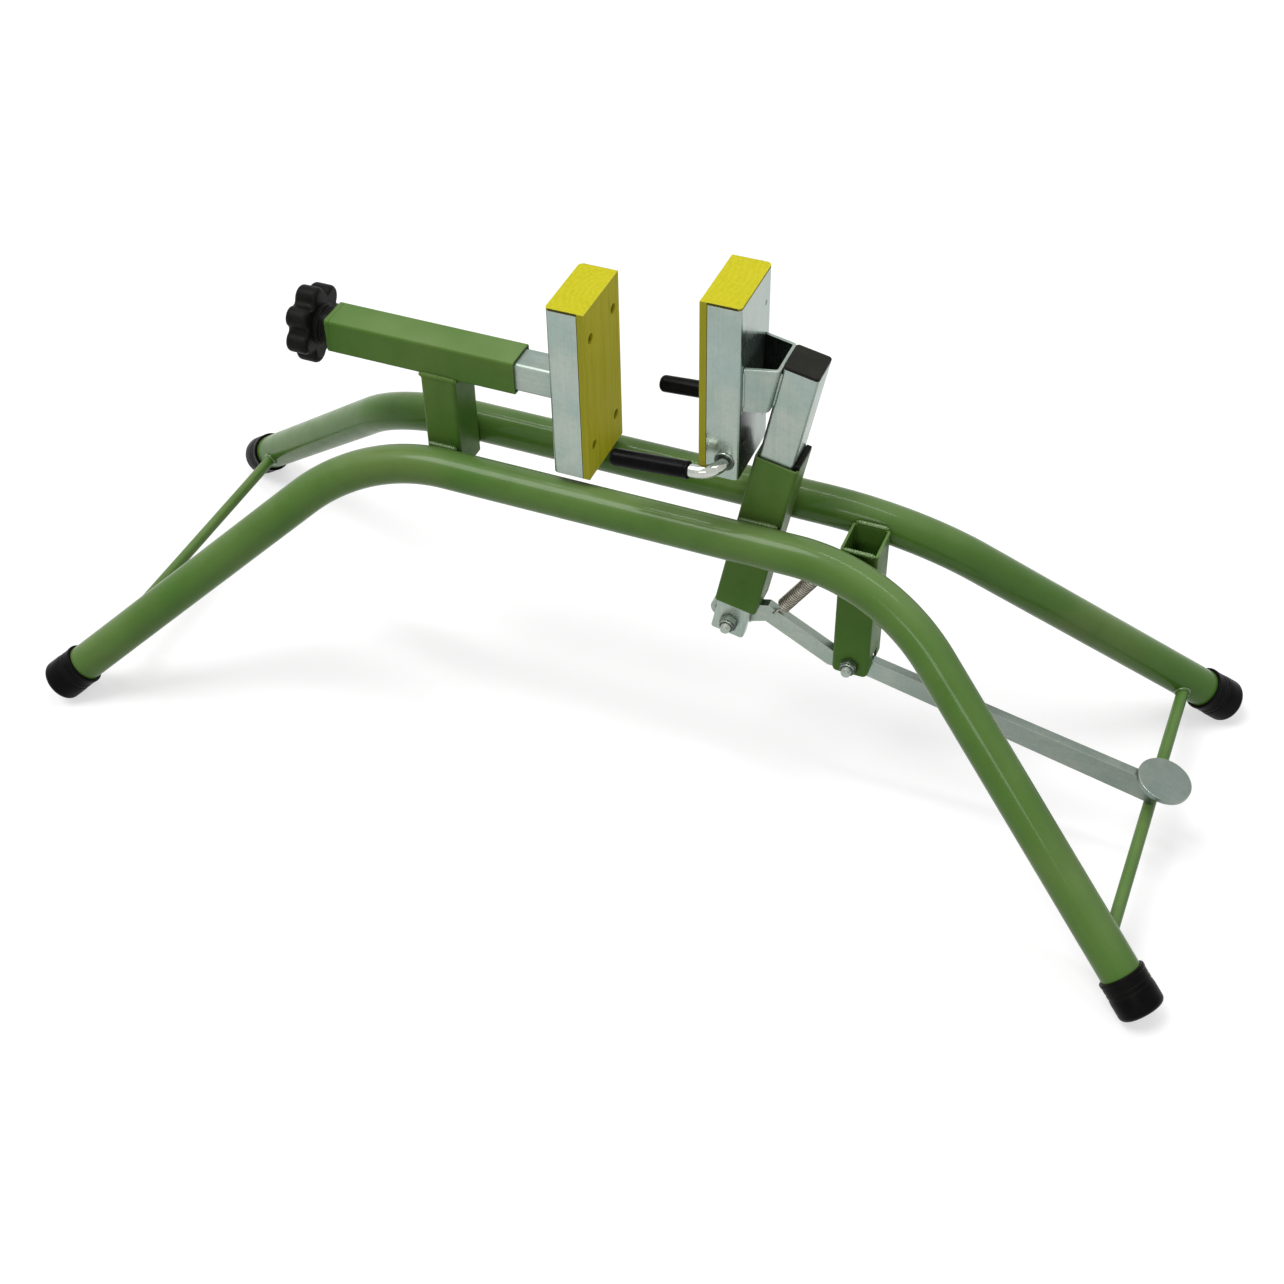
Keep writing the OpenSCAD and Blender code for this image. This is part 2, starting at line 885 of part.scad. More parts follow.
module carriage_tube() {
    // The lever's end reaches through both walls, higher on the pivot's side
    left_slot_above = lever_h;
    right_slot_above = 1.6 * lever_h;
    color("silver")
        on_incline()
            translate([0, 0, -carriage_len])
                difference() {
                    linear_extrude(carriage_len)
                        tube_profile(carriage_x, carriage_y, carriage_wall);
                    translate([0, 0, link_inset])
                        cross_pin(bolt_d + 2 * fastener_play, 2 * carriage_y);
                    translate([-carriage_x, -lever_slot_w / 2, -1])
                        cube([carriage_x, lever_slot_w, 1 + link_inset + left_slot_above]);
                    translate([0, -lever_slot_w / 2, -1])
                        cube([carriage_x, lever_slot_w, 1 + link_inset + right_slot_above]);
                }
}

module tube_plug() {
    inner_x = carriage_x - 2 * carriage_wall;
    inner_y = carriage_y - 2 * carriage_wall;
    color("dimgray")
        on_incline() {
            linear_extrude(plug_t)
                rounded_rect(carriage_x, carriage_y, tube_corner);
            translate([0, 0, -plug_depth])
                linear_extrude(plug_depth + plug_t / 2)
                    rounded_rect(inner_x, inner_y, max(tube_corner - carriage_wall, 0.5));
        }
}

// Moves its children to the rod's axis, with X pointing back along the drooping arms
module at_rod() {
    translate([rod_x, 0, rod_z])
        rotate([0, -arm_droop, 0])
            children();
}

module rest_rod() {
    half = arm_spacing / 2 - rod_bend_r;
    tip = arm_reach - (rod_sleeve_d - rod_d);
    color("lightgray")
        at_rod() {
            cross_pin(rod_d, 2 * half);
            for (side = [0, 1])
                mirror([0, side, 0])
                    translate([-rod_bend_r, half, 0]) {
                        rotate_extrude(angle = 90)
                            translate([rod_bend_r, 0])
                                circle(d = rod_d);
                        translate([0, rod_bend_r, 0])
                            rotate([0, -90, 0])
                                cylinder(d = rod_d, h = tip - rod_bend_r);
                    }
        }
}

module rod_washers() {
    color("silver")
        at_rod()
            for (side = [-1, 1])
                translate([0, side * (jaw_w + rod_washer_t) / 2, 0])
                    difference() {
                        cross_pin(rod_washer_d, rod_washer_t);
                        cross_pin(rod_d + 2 * fastener_play, 2 * rod_washer_t);
                    }
}

module rod_sleeve(side) {
    wall = (rod_sleeve_d - rod_d) / 2;
    color("dimgray")
        at_rod()
            translate([rod_sleeve_len - arm_reach, side * arm_spacing / 2, 0])
                rotate([0, -90, 0])
                    boot(rod_sleeve_d, rod_d, rod_sleeve_len, 2 * wall, 2 * wall);
}

module link_bolt() {
    color("silver")
        translate([link[0], 0, link[1]])
            cross_bolt(carriage_y / 2);
}

module link_nut() {
    color("silver")
        translate([link[0], 0, link[1]])
            cross_nut(carriage_y / 2);
}

// Lever

// Middle line of the lever from its slotted end to the pedal, and its height at each point
lever_line = [slot_end, link, crest, dip, knee, arm_end];
lever_heights = [end_h, end_h, lever_h, lever_h, knee_h, arm_end_h];

// A point on the lever's upper (side 1) or lower (side -1) edge, with the corner mitred
function lever_edge(i, side) =
    let (
        last = len(lever_line) - 1,
        into = unit(lever_line[max(i, 1)] - lever_line[max(i, 1) - 1]),
        onward = unit(lever_line[min(i, last - 1) + 1] - lever_line[min(i, last - 1)]),
        mitre = unit(into + onward)
    )
    lever_line[i] + side * lever_heights[i] / 2 / (mitre * onward) * [-mitre[1], mitre[0]];

// A slot of width w with round ends at two points
module slot(from, to, w) {
    along = unit(to - from);
    up = [-along[1], along[0]] * w / 2;
    for (end = [from, to])
        translate(end)
            circle(d = w);
    polygon([from - up, to - up, to + up, from + up]);
}

module pedal_lever() {
    last = len(lever_line) - 1;
    color("silver")
        across(lever_t)
            difference() {
                union() {
                    polygon([
                        for (i = [0 : last]) lever_edge(i, -1),
                        for (i = [last : -1 : 0]) lever_edge(i, 1)
                    ]);
                    translate(slot_end)
                        circle(d = end_h);
                    translate(pivot)
                        circle(r = lug_r);
                }
                translate(pivot)
                    circle(d = bolt_d + 2 * turning_play);
                slot(slot_end, link, slot_w);
                translate(hook)
                    circle(d = hook_hole_d);
            }
}

module pedal_disc() {
    color("silver")
        translate([arm_end[0], 0, arm_end[1]])
            rotate([0, arm_fall, 0])
                translate([0, 0, arm_end_h / 2])
                    cylinder(d = pedal_d, h = pedal_t);
}

// Return spring: one unbroken wire from the lever's hook hole to the eye

module wire(points, d, sides) {
    last = len(points) - 1;
    rings = sweep_rings(points, d, sides);
    walls = [for (i = [0 : last - 1]) each ring_faces(i * sides, (i + 1) * sides, sides)];
    first_end = [for (k = [1 : sides - 2]) [0, k, k + 1]];
    last_end = [for (k = [1 : sides - 2]) [0, k + 1, k] + last * sides * [1, 1, 1]];
    polyhedron(points = rings, faces = concat(walls, first_end, last_end));
}

curl_r = (spring_od - wire_d) / 2;
turn_in = 1.5 * wire_d;
offset_x = wire_d;
hook_line = [eye[0] - hook[0], eye[1] - hook[1]];
spring_len = sqrt(pow(norm(hook_line), 2) - 4 * offset_x * offset_x);
curl_rise = (spring_len - 2 * hook_reach) / curl_count;
rings_per_curl = 8;

// Half of the spring's ends, from the hook's free end to the start of the curls
hook_points = concat(
    [[-offset_x, lever_t / 2 + wire_d, 0], [-offset_x, 0, 0]],
    [
        for (a = [0 : 30 : 90])
            [-offset_x, turn_in - curl_r - turn_in * sin(a), turn_in * (1 - cos(a))]
    ],
    [[-offset_x, -curl_r, hook_reach - 2 * offset_x]],
    [
        for (a = [0 : 45 : 45])
            [-offset_x * cos(a), -curl_r, hook_reach - offset_x * (1 - sin(a))]
    ]
);
curl_points = [
    for (i = [0 : curl_count * rings_per_curl])
        let (a = 360 * i / rings_per_curl)
            [curl_r * sin(a), -curl_r * cos(a), hook_reach + curl_rise * i / rings_per_curl]
];
top_points = [
    for (i = [len(hook_points) - 1 : -1 : 0])
        [-hook_points[i][0], hook_points[i][1], spring_len - hook_points[i][2]]
];
spring_points = concat(hook_points, curl_points, top_points);
spring_gap = min([
    for (i = [0 : len(spring_points) - 7], j = [i + 6 : len(spring_points) - 1])
        norm(spring_points[i] - spring_points[j])
]) - wire_d;
echo(least_gap_between_curls = spring_gap);  // return_spring

module return_spring() {
    tilt = atan2(hook_line[0], hook_line[1]) - atan2(2 * offset_x, spring_len);
    middle = (hook + eye) / 2;
    color("dimgray")
        translate([middle[0], 0, middle[1]])
            rotate([0, tilt, 0])
                translate([0, 0, -spring_len / 2])
                    wire(spring_points, wire_d, 6);
}

bent_pipe(-1);  // front_pipe
bent_pipe(1);  // rear_pipe
brace(-1);  // left_brace
brace(1);  // right_brace
foot_cap(-1, -1);  // foot_cap_front_left
foot_cap(1, -1);  // foot_cap_front_right
foot_cap(-1, 1);  // foot_cap_rear_left
foot_cap(1, 1);  // foot_cap_rear_right
left_post();
guide_tube();
guide_end_plate();
inclined_sleeve();
wear_strip();
pivot_post();
spring_eye();
pivot_bolt();
pivot_nut();
slide_tube();
spindle_nut();
left_jaw_channel();
left_jaw_pad();
left_pad_screws();
spindle();
star_knob();
right_jaw_channel();
right_jaw_pad();
right_pad_screws();
jaw_bracket();
carriage_tube();
tube_plug();
rest_rod();
rod_washers();
rod_sleeve(-1);  // front_rod_sleeve
rod_sleeve(1);  // rear_rod_sleeve
link_bolt();
link_nut();
pedal_lever();
pedal_disc();
return_spring();
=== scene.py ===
"""Door jack, dressed: a stand of two bent green pipes that holds a door on edge between two
padded jaws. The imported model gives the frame. This script adds the smooth pipes, weld beads,
fasteners, caps, knob and spring, finishes the carried-over solids, and sets up the studio."""
import math

import bmesh
import bpy
from mathutils import Matrix, Vector, noise

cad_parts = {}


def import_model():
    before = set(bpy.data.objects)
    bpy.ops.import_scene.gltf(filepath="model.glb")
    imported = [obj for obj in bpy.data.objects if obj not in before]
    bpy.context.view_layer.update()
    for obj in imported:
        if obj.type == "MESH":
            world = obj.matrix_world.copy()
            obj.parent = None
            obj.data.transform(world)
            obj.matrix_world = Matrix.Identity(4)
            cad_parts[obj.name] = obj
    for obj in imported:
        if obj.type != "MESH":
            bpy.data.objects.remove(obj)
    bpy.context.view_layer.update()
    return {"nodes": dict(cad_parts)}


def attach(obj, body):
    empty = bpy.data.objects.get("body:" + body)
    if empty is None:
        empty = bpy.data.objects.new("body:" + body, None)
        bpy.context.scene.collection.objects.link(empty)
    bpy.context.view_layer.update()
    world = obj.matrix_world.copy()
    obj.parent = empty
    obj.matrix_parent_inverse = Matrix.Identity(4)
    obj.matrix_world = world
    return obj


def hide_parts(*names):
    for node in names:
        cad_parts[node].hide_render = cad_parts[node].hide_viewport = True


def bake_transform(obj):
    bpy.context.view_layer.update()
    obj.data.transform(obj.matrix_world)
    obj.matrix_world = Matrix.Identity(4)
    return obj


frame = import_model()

MM = 0.001

# Sizes in millimetres, as in the construction source
PIPE_D = 32.0
PIPE_GAP = 35.0
CORNER_SPAN = 437.0
LEG = Vector((235.0, 128.0, 207.4))
CAP_WALL = 2.5
CAP_LEN = 33.0
CAP_END = 5.0
CAP_EDGE = 5.0
CAP_FLAT = 0.7
BEND_R = 170.0
BRACE_D = 10.0
BRACE_SHARE = 0.94
POST_X = 30.0
LEFT_POST_AT = -156.0
GUIDE_SIZE = 30.0
GUIDE_END_AT = -90.0
GUIDE_LEN = 160.0
GUIDE_RISE = 88.5
END_PLATE_T = 4.0
SLIDING_PLAY = 0.3
LOBE_COUNT = 7
KNOB_D = 64.0
LOBE_R = 8.5
HOLLOW_R = 5.0
HEAD_T = 19.0
HUB_D = 30.0
HUB_LEN = 9.0
JAW_W = 65.0
JAW_H = 150.0
CHANNEL_DEPTH = 25.0
PAD_PROUD = 6.0
PAD_RISE = 2.0
SCREW_COLUMNS = 42.0
SCREW_INSET = 26.5
SCREW_D = 4.0
SCREW_HEAD_D = 6.5
SCREW_HEAD_T = 3.0
RECESS_DEPTH = 6.0
LEFT_WEB_AT = -52.0
RIGHT_WEB_AT = 99.5
LEFT_JAW_BELOW = 65.0
RIGHT_JAW_RISE = 57.3
BRACKET_JAW_W = 51.0
BRACKET_W = 38.0
BRACKET_T = 3.0
BRACKET_LOW = 116.0
BRACKET_HIGH = 153.0
BRACKET_CORNER = 4.5
ROD_D = 10.0
ROD_SETBACK = 10.5
ROD_RISE = 15.7
ARM_SPACING = 100.0
ROD_BEND_R = 16.0
ARM_DROOP = 4.0
ARM_REACH = 84.0
ROD_SLEEVE_LEN = 63.0
ROD_SLEEVE_D = 14.0
INCLINE = 11.2
CARRIAGE_TOP_AT = 139.0
CARRIAGE_TOP_RISE = 150.5
CARRIAGE_X = 28.0
CARRIAGE_Y = 30.0
CARRIAGE_LEN = 270.0
SLEEVE_X = 35.0
SLEEVE_WALL = 2.0
LINK_INSET = 13.0
PIVOT_AT = 192.0
PIVOT_BELOW = 112.0
PIVOT_POST_ABOVE = 3.0
LEVER_T = 8.0
ARM_END_H = 23.0
ARM_FALL = 12.7
REST_GAP = 0.6
BOLT_D = 8.0
HEX_FLATS = 13.0
HEX_HEAD_T = 5.3
NUT_T = 8.0
BOLT_TAIL = 4.5
WIRE_D = 1.7
SPRING_OD = 12.4
CURL_COUNT = 30
HOOK_REACH = 9.0
EYE_BELOW = 22.0
EYE_OUT = 4.5
BORE_PLAY = 0.02

LEG_LEN = LEG.length
BEND_ANGLE = math.acos(LEG.x / LEG_LEN)
LEG_LEAN = math.atan2(LEG.y, LEG.z)
PIPE_Y = (PIPE_GAP + PIPE_D) / 2
CAP_R = PIPE_D / 2 + CAP_WALL
LEG_FALL = LEG.z / LEG_LEN
CAP_SOLE = (CAP_LEN - CAP_EDGE) * LEG_FALL + (CAP_R - CAP_EDGE) * math.sqrt(1 - LEG_FALL**2) + CAP_EDGE
PIPE_Z = LEG.z + CAP_SOLE - CAP_FLAT
GUIDE_Z = PIPE_Z + GUIDE_RISE
KNOB_X = GUIDE_END_AT - GUIDE_LEN - END_PLATE_T - SLIDING_PLAY
LEFT_JAW_Z = GUIDE_Z - LEFT_JAW_BELOW
RIGHT_JAW_Z = PIPE_Z + RIGHT_JAW_RISE
INCLINE_RAD = math.radians(INCLINE)
TOP = Vector((CARRIAGE_TOP_AT, 0, PIPE_Z + CARRIAGE_TOP_RISE))
DOWN = Vector((-math.sin(INCLINE_RAD), 0, -math.cos(INCLINE_RAD)))
LINK = TOP + (CARRIAGE_LEN - LINK_INSET) * DOWN
PIVOT = Vector((PIVOT_AT, 0, PIPE_Z - PIVOT_BELOW))
BRACE_X = CORNER_SPAN / 2 + BRACE_SHARE * LEG.x
BRACE_Y = PIPE_Y + BRACE_SHARE * LEG.y
BRACE_Z = PIPE_Z - BRACE_SHARE * LEG.z
FALL_RAD = math.radians(ARM_FALL)
ARM_UP = Vector((math.sin(FALL_RAD), 0, math.cos(FALL_RAD)))
ARM_END = Vector((BRACE_X, 0, BRACE_Z)) + ARM_UP * (BRACE_D / 2 + REST_GAP + ARM_END_H / 2)
CREST = LINK + Vector((28, 0, 8.1))
HOOK = CREST + Vector((6, 0, 2.4))
EYE = Vector((PIVOT_AT - POST_X / 2 - EYE_OUT, 0, PIPE_Z - EYE_BELOW))

# Both sides along X and along Y, with their names
SIDES = ((-1, "left"), (1, "right"))
FACES = ((-1, "front"), (1, "rear"))

# Weld beads: the length of a step, the length of a ripple, and how far a ring lies off the metal
BEAD_STEP = 0.6
BEAD_RIPPLE = 2.3
BEAD_OUT = 0.5

# Studio: the fitted camera's focal length and the picture's width in pixels, and the white's two parts
FOCAL_PIXELS = 1948.15
FRAME_PIXELS = 1284
FLOOR_GLOW = 0.58
WORLD_LIGHT = 0.36


# Materials


def srgb(red, green, blue):
    """A colour given in screen values from 0 to 255, as linear light."""
    def linear(value):
        value /= 255
        return value / 12.92 if value <= 0.04045 else ((value + 0.055) / 1.055) ** 2.4
    return (linear(red), linear(green), linear(blue), 1)


def feed(tree, socket, value):
    """Puts a number, a colour or another node's output on a socket."""
    if isinstance(value, bpy.types.NodeSocket):
        tree.links.new(value, socket)
    else:
        socket.default_value = value


def add_node(tree, kind, **inputs):
    """A node, with what is fed to its named inputs."""
    node = tree.nodes.new(kind)
    for name, value in inputs.items():
        feed(tree, node.inputs[name.replace("_", " ")], value)
    return node


def empty_tree(owner):
    """The cleared node tree of a material or a world."""
    owner.use_nodes = True
    owner.node_tree.nodes.clear()
    return owner.node_tree


def calculate(tree, operation, first, second):
    node = add_node(tree, "ShaderNodeMath")
    node.operation = operation
    feed(tree, node.inputs[0], first)
    feed(tree, node.inputs[1], second)
    return node.outputs["Value"]


class Finish:
    """A node material under construction. Its tone is the colour so far."""

    def __init__(self, name):
        self.material = bpy.data.materials.new(name)
        self.tree = empty_tree(self.material)
        self.shader = self.add("ShaderNodeBsdfPrincipled")
        self.add("ShaderNodeOutputMaterial", Surface=self.shader.outputs["BSDF"])
        coordinates = self.add("ShaderNodeTexCoord")
        self.place = coordinates.outputs["Object"]
        self.normal = coordinates.outputs["Normal"]
        self.tone = None

    def add(self, kind, **inputs):
        return add_node(self.tree, kind, **inputs)

    def stretched(self, stretch, turn=(0, 0, 0)):
        """Object coordinates, turned and then scaled along each axis."""
        angles = [math.radians(a) for a in turn]
        node = self.add("ShaderNodeMapping", Vector=self.place, Rotation=angles, Scale=stretch)
        return node.outputs["Vector"]

    def noise(self, scale, detail=3.0, rough=0.55, vector=None):
        at = vector or self.place
        node = self.add("ShaderNodeTexNoise", Vector=at, Scale=scale, Detail=detail, Roughness=rough)
        return node.outputs["Fac"]

    def cells(self, scale):
        return self.add("ShaderNodeTexVoronoi", Vector=self.place, Scale=scale).outputs["Distance"]

    def rings(self, scale, vector, distortion, detail):
        node = self.add("ShaderNodeTexWave", Vector=vector, Scale=scale, Distortion=distortion, Detail=detail)
        node.wave_type = "RINGS"
        node.rings_direction = "Z"
        node.inputs["Detail Scale"].default_value = 1.5
        return node.outputs["Fac"]

    def between(self, value, low, high, out_low=0.0, out_high=1.0):
        """Maps a value's stretch from low to high onto another, held at its ends."""
        span = {"From_Min": low, "From_Max": high, "To_Min": out_low, "To_Max": out_high}
        node = self.add("ShaderNodeMapRange", Value=value, **span)
        node.interpolation_type = "SMOOTHSTEP"
        return node.outputs["Result"]

    def within(self, value, low, high, out_low=0.0, out_high=1.0):
        """The same, for a place whose stretch is given in millimetres."""
        return self.between(value, low * MM, high * MM, out_low, out_high)

    def times(self, first, *others):
        for other in others:
            first = calculate(self.tree, "MULTIPLY", first, other)
        return first

    def plus(self, first, second):
        return calculate(self.tree, "ADD", first, second)

    def most(self, first, second):
        return calculate(self.tree, "MAXIMUM", first, second)

    def size(self, value):
        return calculate(self.tree, "ABSOLUTE", value, 0.0)

    def axes(self, vector):
        """The X, Y and Z of a place or a direction."""
        node = self.add("ShaderNodeSeparateXYZ", Vector=vector)
        return node.outputs["X"], node.outputs["Y"], node.outputs["Z"]

    def up(self, low, high, out_low=0.0, out_high=1.0):
        """How far a face looks up, mapped like any other value."""
        return self.between(self.axes(self.normal)[2], low, high, out_low, out_high)

    def edges(self, radius):
        """1 on sharp edges and 0 on flats, from how a rounded copy of the surface would face."""
        bevel = self.add("ShaderNodeBevel", Radius=radius)
        bevel.samples = 4
        alike = self.add("ShaderNodeVectorMath")
        alike.operation = "DOT_PRODUCT"
        feed(self.tree, alike.inputs[0], bevel.outputs["Normal"])
        feed(self.tree, alike.inputs[1], self.add("ShaderNodeNewGeometry").outputs["Normal"])
        return self.between(calculate(self.tree, "SUBTRACT", 1.0, alike.outputs["Value"]), 0.02, 0.2)

    def corners(self, distance):
        """1 deep in corners and 0 in the open."""
        node = self.add("ShaderNodeAmbientOcclusion", Distance=distance)
        node.samples = 4
        return self.between(node.outputs["AO"], 0.75, 0.25)

    def mix(self, amount, first, second):
        node = self.add("ShaderNodeMix")
        node.data_type = "RGBA"
        for name, value in (("Factor", amount), ("A", first), ("B", second)):
            feed(self.tree, node.inputs[name], value)
        self.tone = node.outputs["Result"]

    def base(self, value, low, high, first, second, most=1.0):
        """Starts the tone as a mix of two screen colours, by a value's stretch."""
        self.mix(self.between(value, low, high, 0, most), srgb(*first), srgb(*second))

    def layer(self, amount, *colour):
        """Lays a screen colour over the tone, and gives back how much."""
        self.mix(amount, self.tone, srgb(*colour))
        return amount

    def patches(self, value, low, high, most, *colour):
        """Lays a colour where a value is high."""
        return self.layer(self.between(value, low, high, 0, most), *colour)

    def wear(self, radius, most, *colour):
        """Lays a colour on sharp edges."""
        return self.layer(self.times(self.edges(radius), most), *colour)

    def corner_shade(self, distance, most, *colour):
        """Lays a colour deep in corners: painted shade."""
        return self.layer(self.times(self.corners(distance), most), *colour)

    def finished(self, rough, bumps, **surface):
        """The material, with its roughness, its shader's constants, and bumps that are each given as
        height, strength and distance in metres."""
        normal = None
        for height, strength, distance in bumps:
            bump = self.add("ShaderNodeBump", Height=height, Strength=strength, Distance=distance)
            if normal:
                feed(self.tree, bump.inputs["Normal"], normal)
            normal = bump.outputs["Normal"]
        surface.update(Base_Color=self.tone, Roughness=rough, Normal=normal)
        for name, value in surface.items():
            feed(self.tree, self.shader.inputs[name.replace("_", " ")], value)
        return self.material


def green_paint(name, specular, gloss, coat):
    """Sprayed enamel: soft orange peel, uneven cover, paler on edges, paler on top from settled dust and a
    painted top light, and dust with painted shade in corners.
    """
    made = Finish(name)
    broad = made.noise(9, 2)
    cloudy = made.noise(55, 4, 0.6)
    made.base(broad, 0.35, 0.65, (72, 110, 40), (86, 118, 52))
    made.patches(made.noise(5, 3, 0.6), 0.5, 0.72, 0.5, 94, 112, 58)
    made.patches(cloudy, 0.42, 0.8, 0.4, 66, 98, 38)
    made.patches(made.noise(430, 3, 0.6), 0.5, 0.75, 0.22, 94, 125, 62)
    # Paler on faces that look up: settled dust and a painted top light.
    made.layer(made.times(made.up(0.55, 1.0), made.between(broad, 0.3, 0.7, 0.16, 0.34)), 134, 156, 108)
    made.wear(0.0014, made.between(cloudy, 0.38, 0.6, 0.25, 0.9), 116, 143, 84)
    # Painted shade deep in corners; the same mask makes the corners rougher with dust.
    corner_dirt_and_shade = made.corner_shade(0.012, 0.55, 34, 44, 20)
    rough = made.plus(made.between(cloudy, 0.3, 0.75, gloss, gloss + 0.12), made.times(corner_dirt_and_shade, 0.4))
    bumps = [(made.noise(520, 2, 0.45), 0.10, 0.0006), (made.noise(1900, 2, 0.7), 0.03, 0.0002)]
    return made.finished(rough, bumps, Specular_IOR_Level=specular, Coat_Weight=coat, Coat_Roughness=0.11)


def zinc_plate(name, grain, turn=(0, 0, 0), warm=0.0, shade=0.0, rim=0.0009, satin=0.3):
    """Zinc-plated steel: mottled, with faint rolling lines along one way, a tint from the passivation,
    handling marks and painted shade in corners. The shade darkens the tone towards a dark teal, evenly
    as one number, or as painted light and shade where a function makes a pattern of it."""
    made = Finish(name)
    rolled = made.noise(1, 5, 0.62, made.stretched(grain, turn))
    fine = made.noise(1, 3, 0.7, made.stretched([g * 2.7 for g in grain], turn))
    cloudy = made.noise(38, 4, 0.62)
    mottled = made.noise(260, 4, 0.65)
    marks = made.noise(1, 3, 0.55, made.stretched((70, 1300, 1300), (12, 38, 20)))
    crossing = made.noise(1, 3, 0.55, made.stretched((1300, 60, 1300), (30, 8, -25)))
    made.base(cloudy, 0.35, 0.68, (150, 166, 157), (168, 177, 167))
    made.patches(made.noise(14, 2), 0.45, 0.75, 0.55, 152, 170, 168)
    made.patches(rolled, 0.4, 0.75, 0.26, 134, 148, 138)
    made.patches(mottled, 0.45, 0.7, 0.3, 138, 152, 142)
    made.patches(made.cells(950), 0.25, 0.05, 0.14, 190, 198, 188)
    made.wear(rim, 0.7, 200, 207, 197)
    # Painted shade deep in corners, which also roughens them as dirt would.
    corner_dirt_and_shade = made.corner_shade(0.008, 0.65, 58, 66, 58)
    made.layer(warm, 150, 138, 104)
    # The shade: an even darker tone, or painted light and shade laid by a pattern.
    made.layer(shade(made) if callable(shade) else shade, 24, 36, 31)
    scratch = made.most(made.between(marks, 0.7, 0.77), made.between(crossing, 0.72, 0.79))
    made.layer(made.times(scratch, 0.25), 202, 208, 200)
    polish = made.between(cloudy, 0.3, 0.75, satin - 0.05, satin + 0.08)
    polish = made.plus(polish, made.between(fine, 0.3, 0.7, -0.05, 0.07))
    bumps = [(rolled, 0.07, 0.0002), (mottled, 0.08, 0.0002), (fine, 0.06, 0.0001), (scratch, 0.1, 0.0001)]
    return made.finished(made.plus(polish, made.times(corner_dirt_and_shade, 0.25)), bumps, Metallic=0.9, Anisotropic=0.2)


def bracket_shade(made):
    """Painted shade: dark on the bracket's inner faces, where the light hardly reaches, and a little darker
    on faces that don't look up.
    """
    x, y, z = made.axes(made.normal)
    inward = made.times(y, made.axes(made.place)[1], -1.0)
    inner = made.most(made.between(inward, 0.003, 0.01), made.between(x, -0.3, -0.8))
    flank = made.times(made.between(z, 0.9, 0.5), 0.16)
    return made.most(made.times(inner, 0.82), flank)


def jaw_shade(made):
    """Painted shade on the jaw's web within the bracket, and a painted shadow and dark reflection below it
    towards the front flange; a little darker all over.
    """
    x, y, z = made.axes(made.place)
    half = BRACKET_JAW_W / 2
    low = PIPE_Z + BRACKET_LOW
    high = PIPE_Z + BRACKET_HIGH
    face = made.within(x, RIGHT_WEB_AT - 0.4, RIGHT_WEB_AT - 0.1)
    middle = made.within(made.size(y), half + 1, half - 4)
    below_top = made.within(z, high + 5, high - 5)
    fading = made.within(z, low - 34, low - 10)
    pocket_shade = made.times(face, middle, below_top, fading)
    shadow_pool = made.times(face, made.within(z, low + 3, low - 3), made.within(y, 10, -16, 0.26, 0.92))
    return made.most(made.most(made.times(pocket_shade, 0.85), shadow_pool), 0.05)


def along_shade(made):
    """Painted shade: a darker top on the slide tube."""
    return made.up(0.3, 0.9, 0.0, 0.2)


def lever_shade(made):
    """Painted shade: darker from the pivot towards the pedal."""
    return made.within(made.axes(made.place)[0], PIVOT_AT, PIVOT_AT + 80, 0.14, 0.35)


def facet_shade(made):
    """Painted light and shade: bright on faces that look up, and dark on those that look down."""
    return made.up(0.8, 0.0, 0.0, 0.86)


def yellow_pad(name, lip_x, web_side, lip_z):
    """Wood stained yellow: upright grain, end grain on top, bruised edges, painted shade in corners and
    on the flanks, and painted shadow lines where it laps over the channel's edges."""
    made = Finish(name)
    rings = made.rings(70, made.stretched((1, 1, 0.05)), 6.0, 3.0)
    fibre = made.noise(1, 5, 0.65, made.stretched((380, 380, 10)))
    pores = made.noise(1, 2, 0.5, made.stretched((1300, 1300, 42)))
    cloudy = made.noise(26, 3, 0.6)
    made.base(rings, 0.3, 1.0, (196, 190, 28), (172, 164, 24), 0.22)
    made.patches(fibre, 0.4, 0.75, 0.42, 164, 156, 26)
    made.patches(cloudy, 0.42, 0.8, 0.4, 204, 192, 44)
    made.patches(pores, 0.62, 0.74, 0.4, 122, 114, 18)
    made.wear(0.0018, made.between(cloudy, 0.36, 0.6, 0.1, 0.7), 206, 202, 84)
    # Painted shade deep in corners and in the screw recesses.
    made.corner_shade(0.007, 0.8, 70, 64, 10)
    x, y, z = made.axes(made.place)
    flank = made.within(made.size(y), JAW_W / 2 - 0.5, JAW_W / 2 - 0.1)
    # Painted shade: darker on the pad's front and rear flanks.
    made.layer(made.times(flank, 0.75), 146, 142, 40)
    past_lip = made.times(made.plus(x, -lip_x * MM), web_side)
    beside = made.within(past_lip, 0.9, 0.2)
    under = made.within(z, lip_z + 1.2, lip_z + 0.4)
    # Painted shadow lines where the pad laps over the channel's edges.
    shadow_line = made.most(made.times(beside, flank), made.times(beside, under))
    made.layer(made.times(shadow_line, 0.9), 44, 42, 8)
    bumps = [(fibre, 0.22, 0.0003), (pores, 0.25, 0.0002), (rings, 0.03, 0.0003)]
    return made.finished(made.between(fibre, 0.3, 0.7, 0.55, 0.72), bumps, Specular_IOR_Level=0.15)


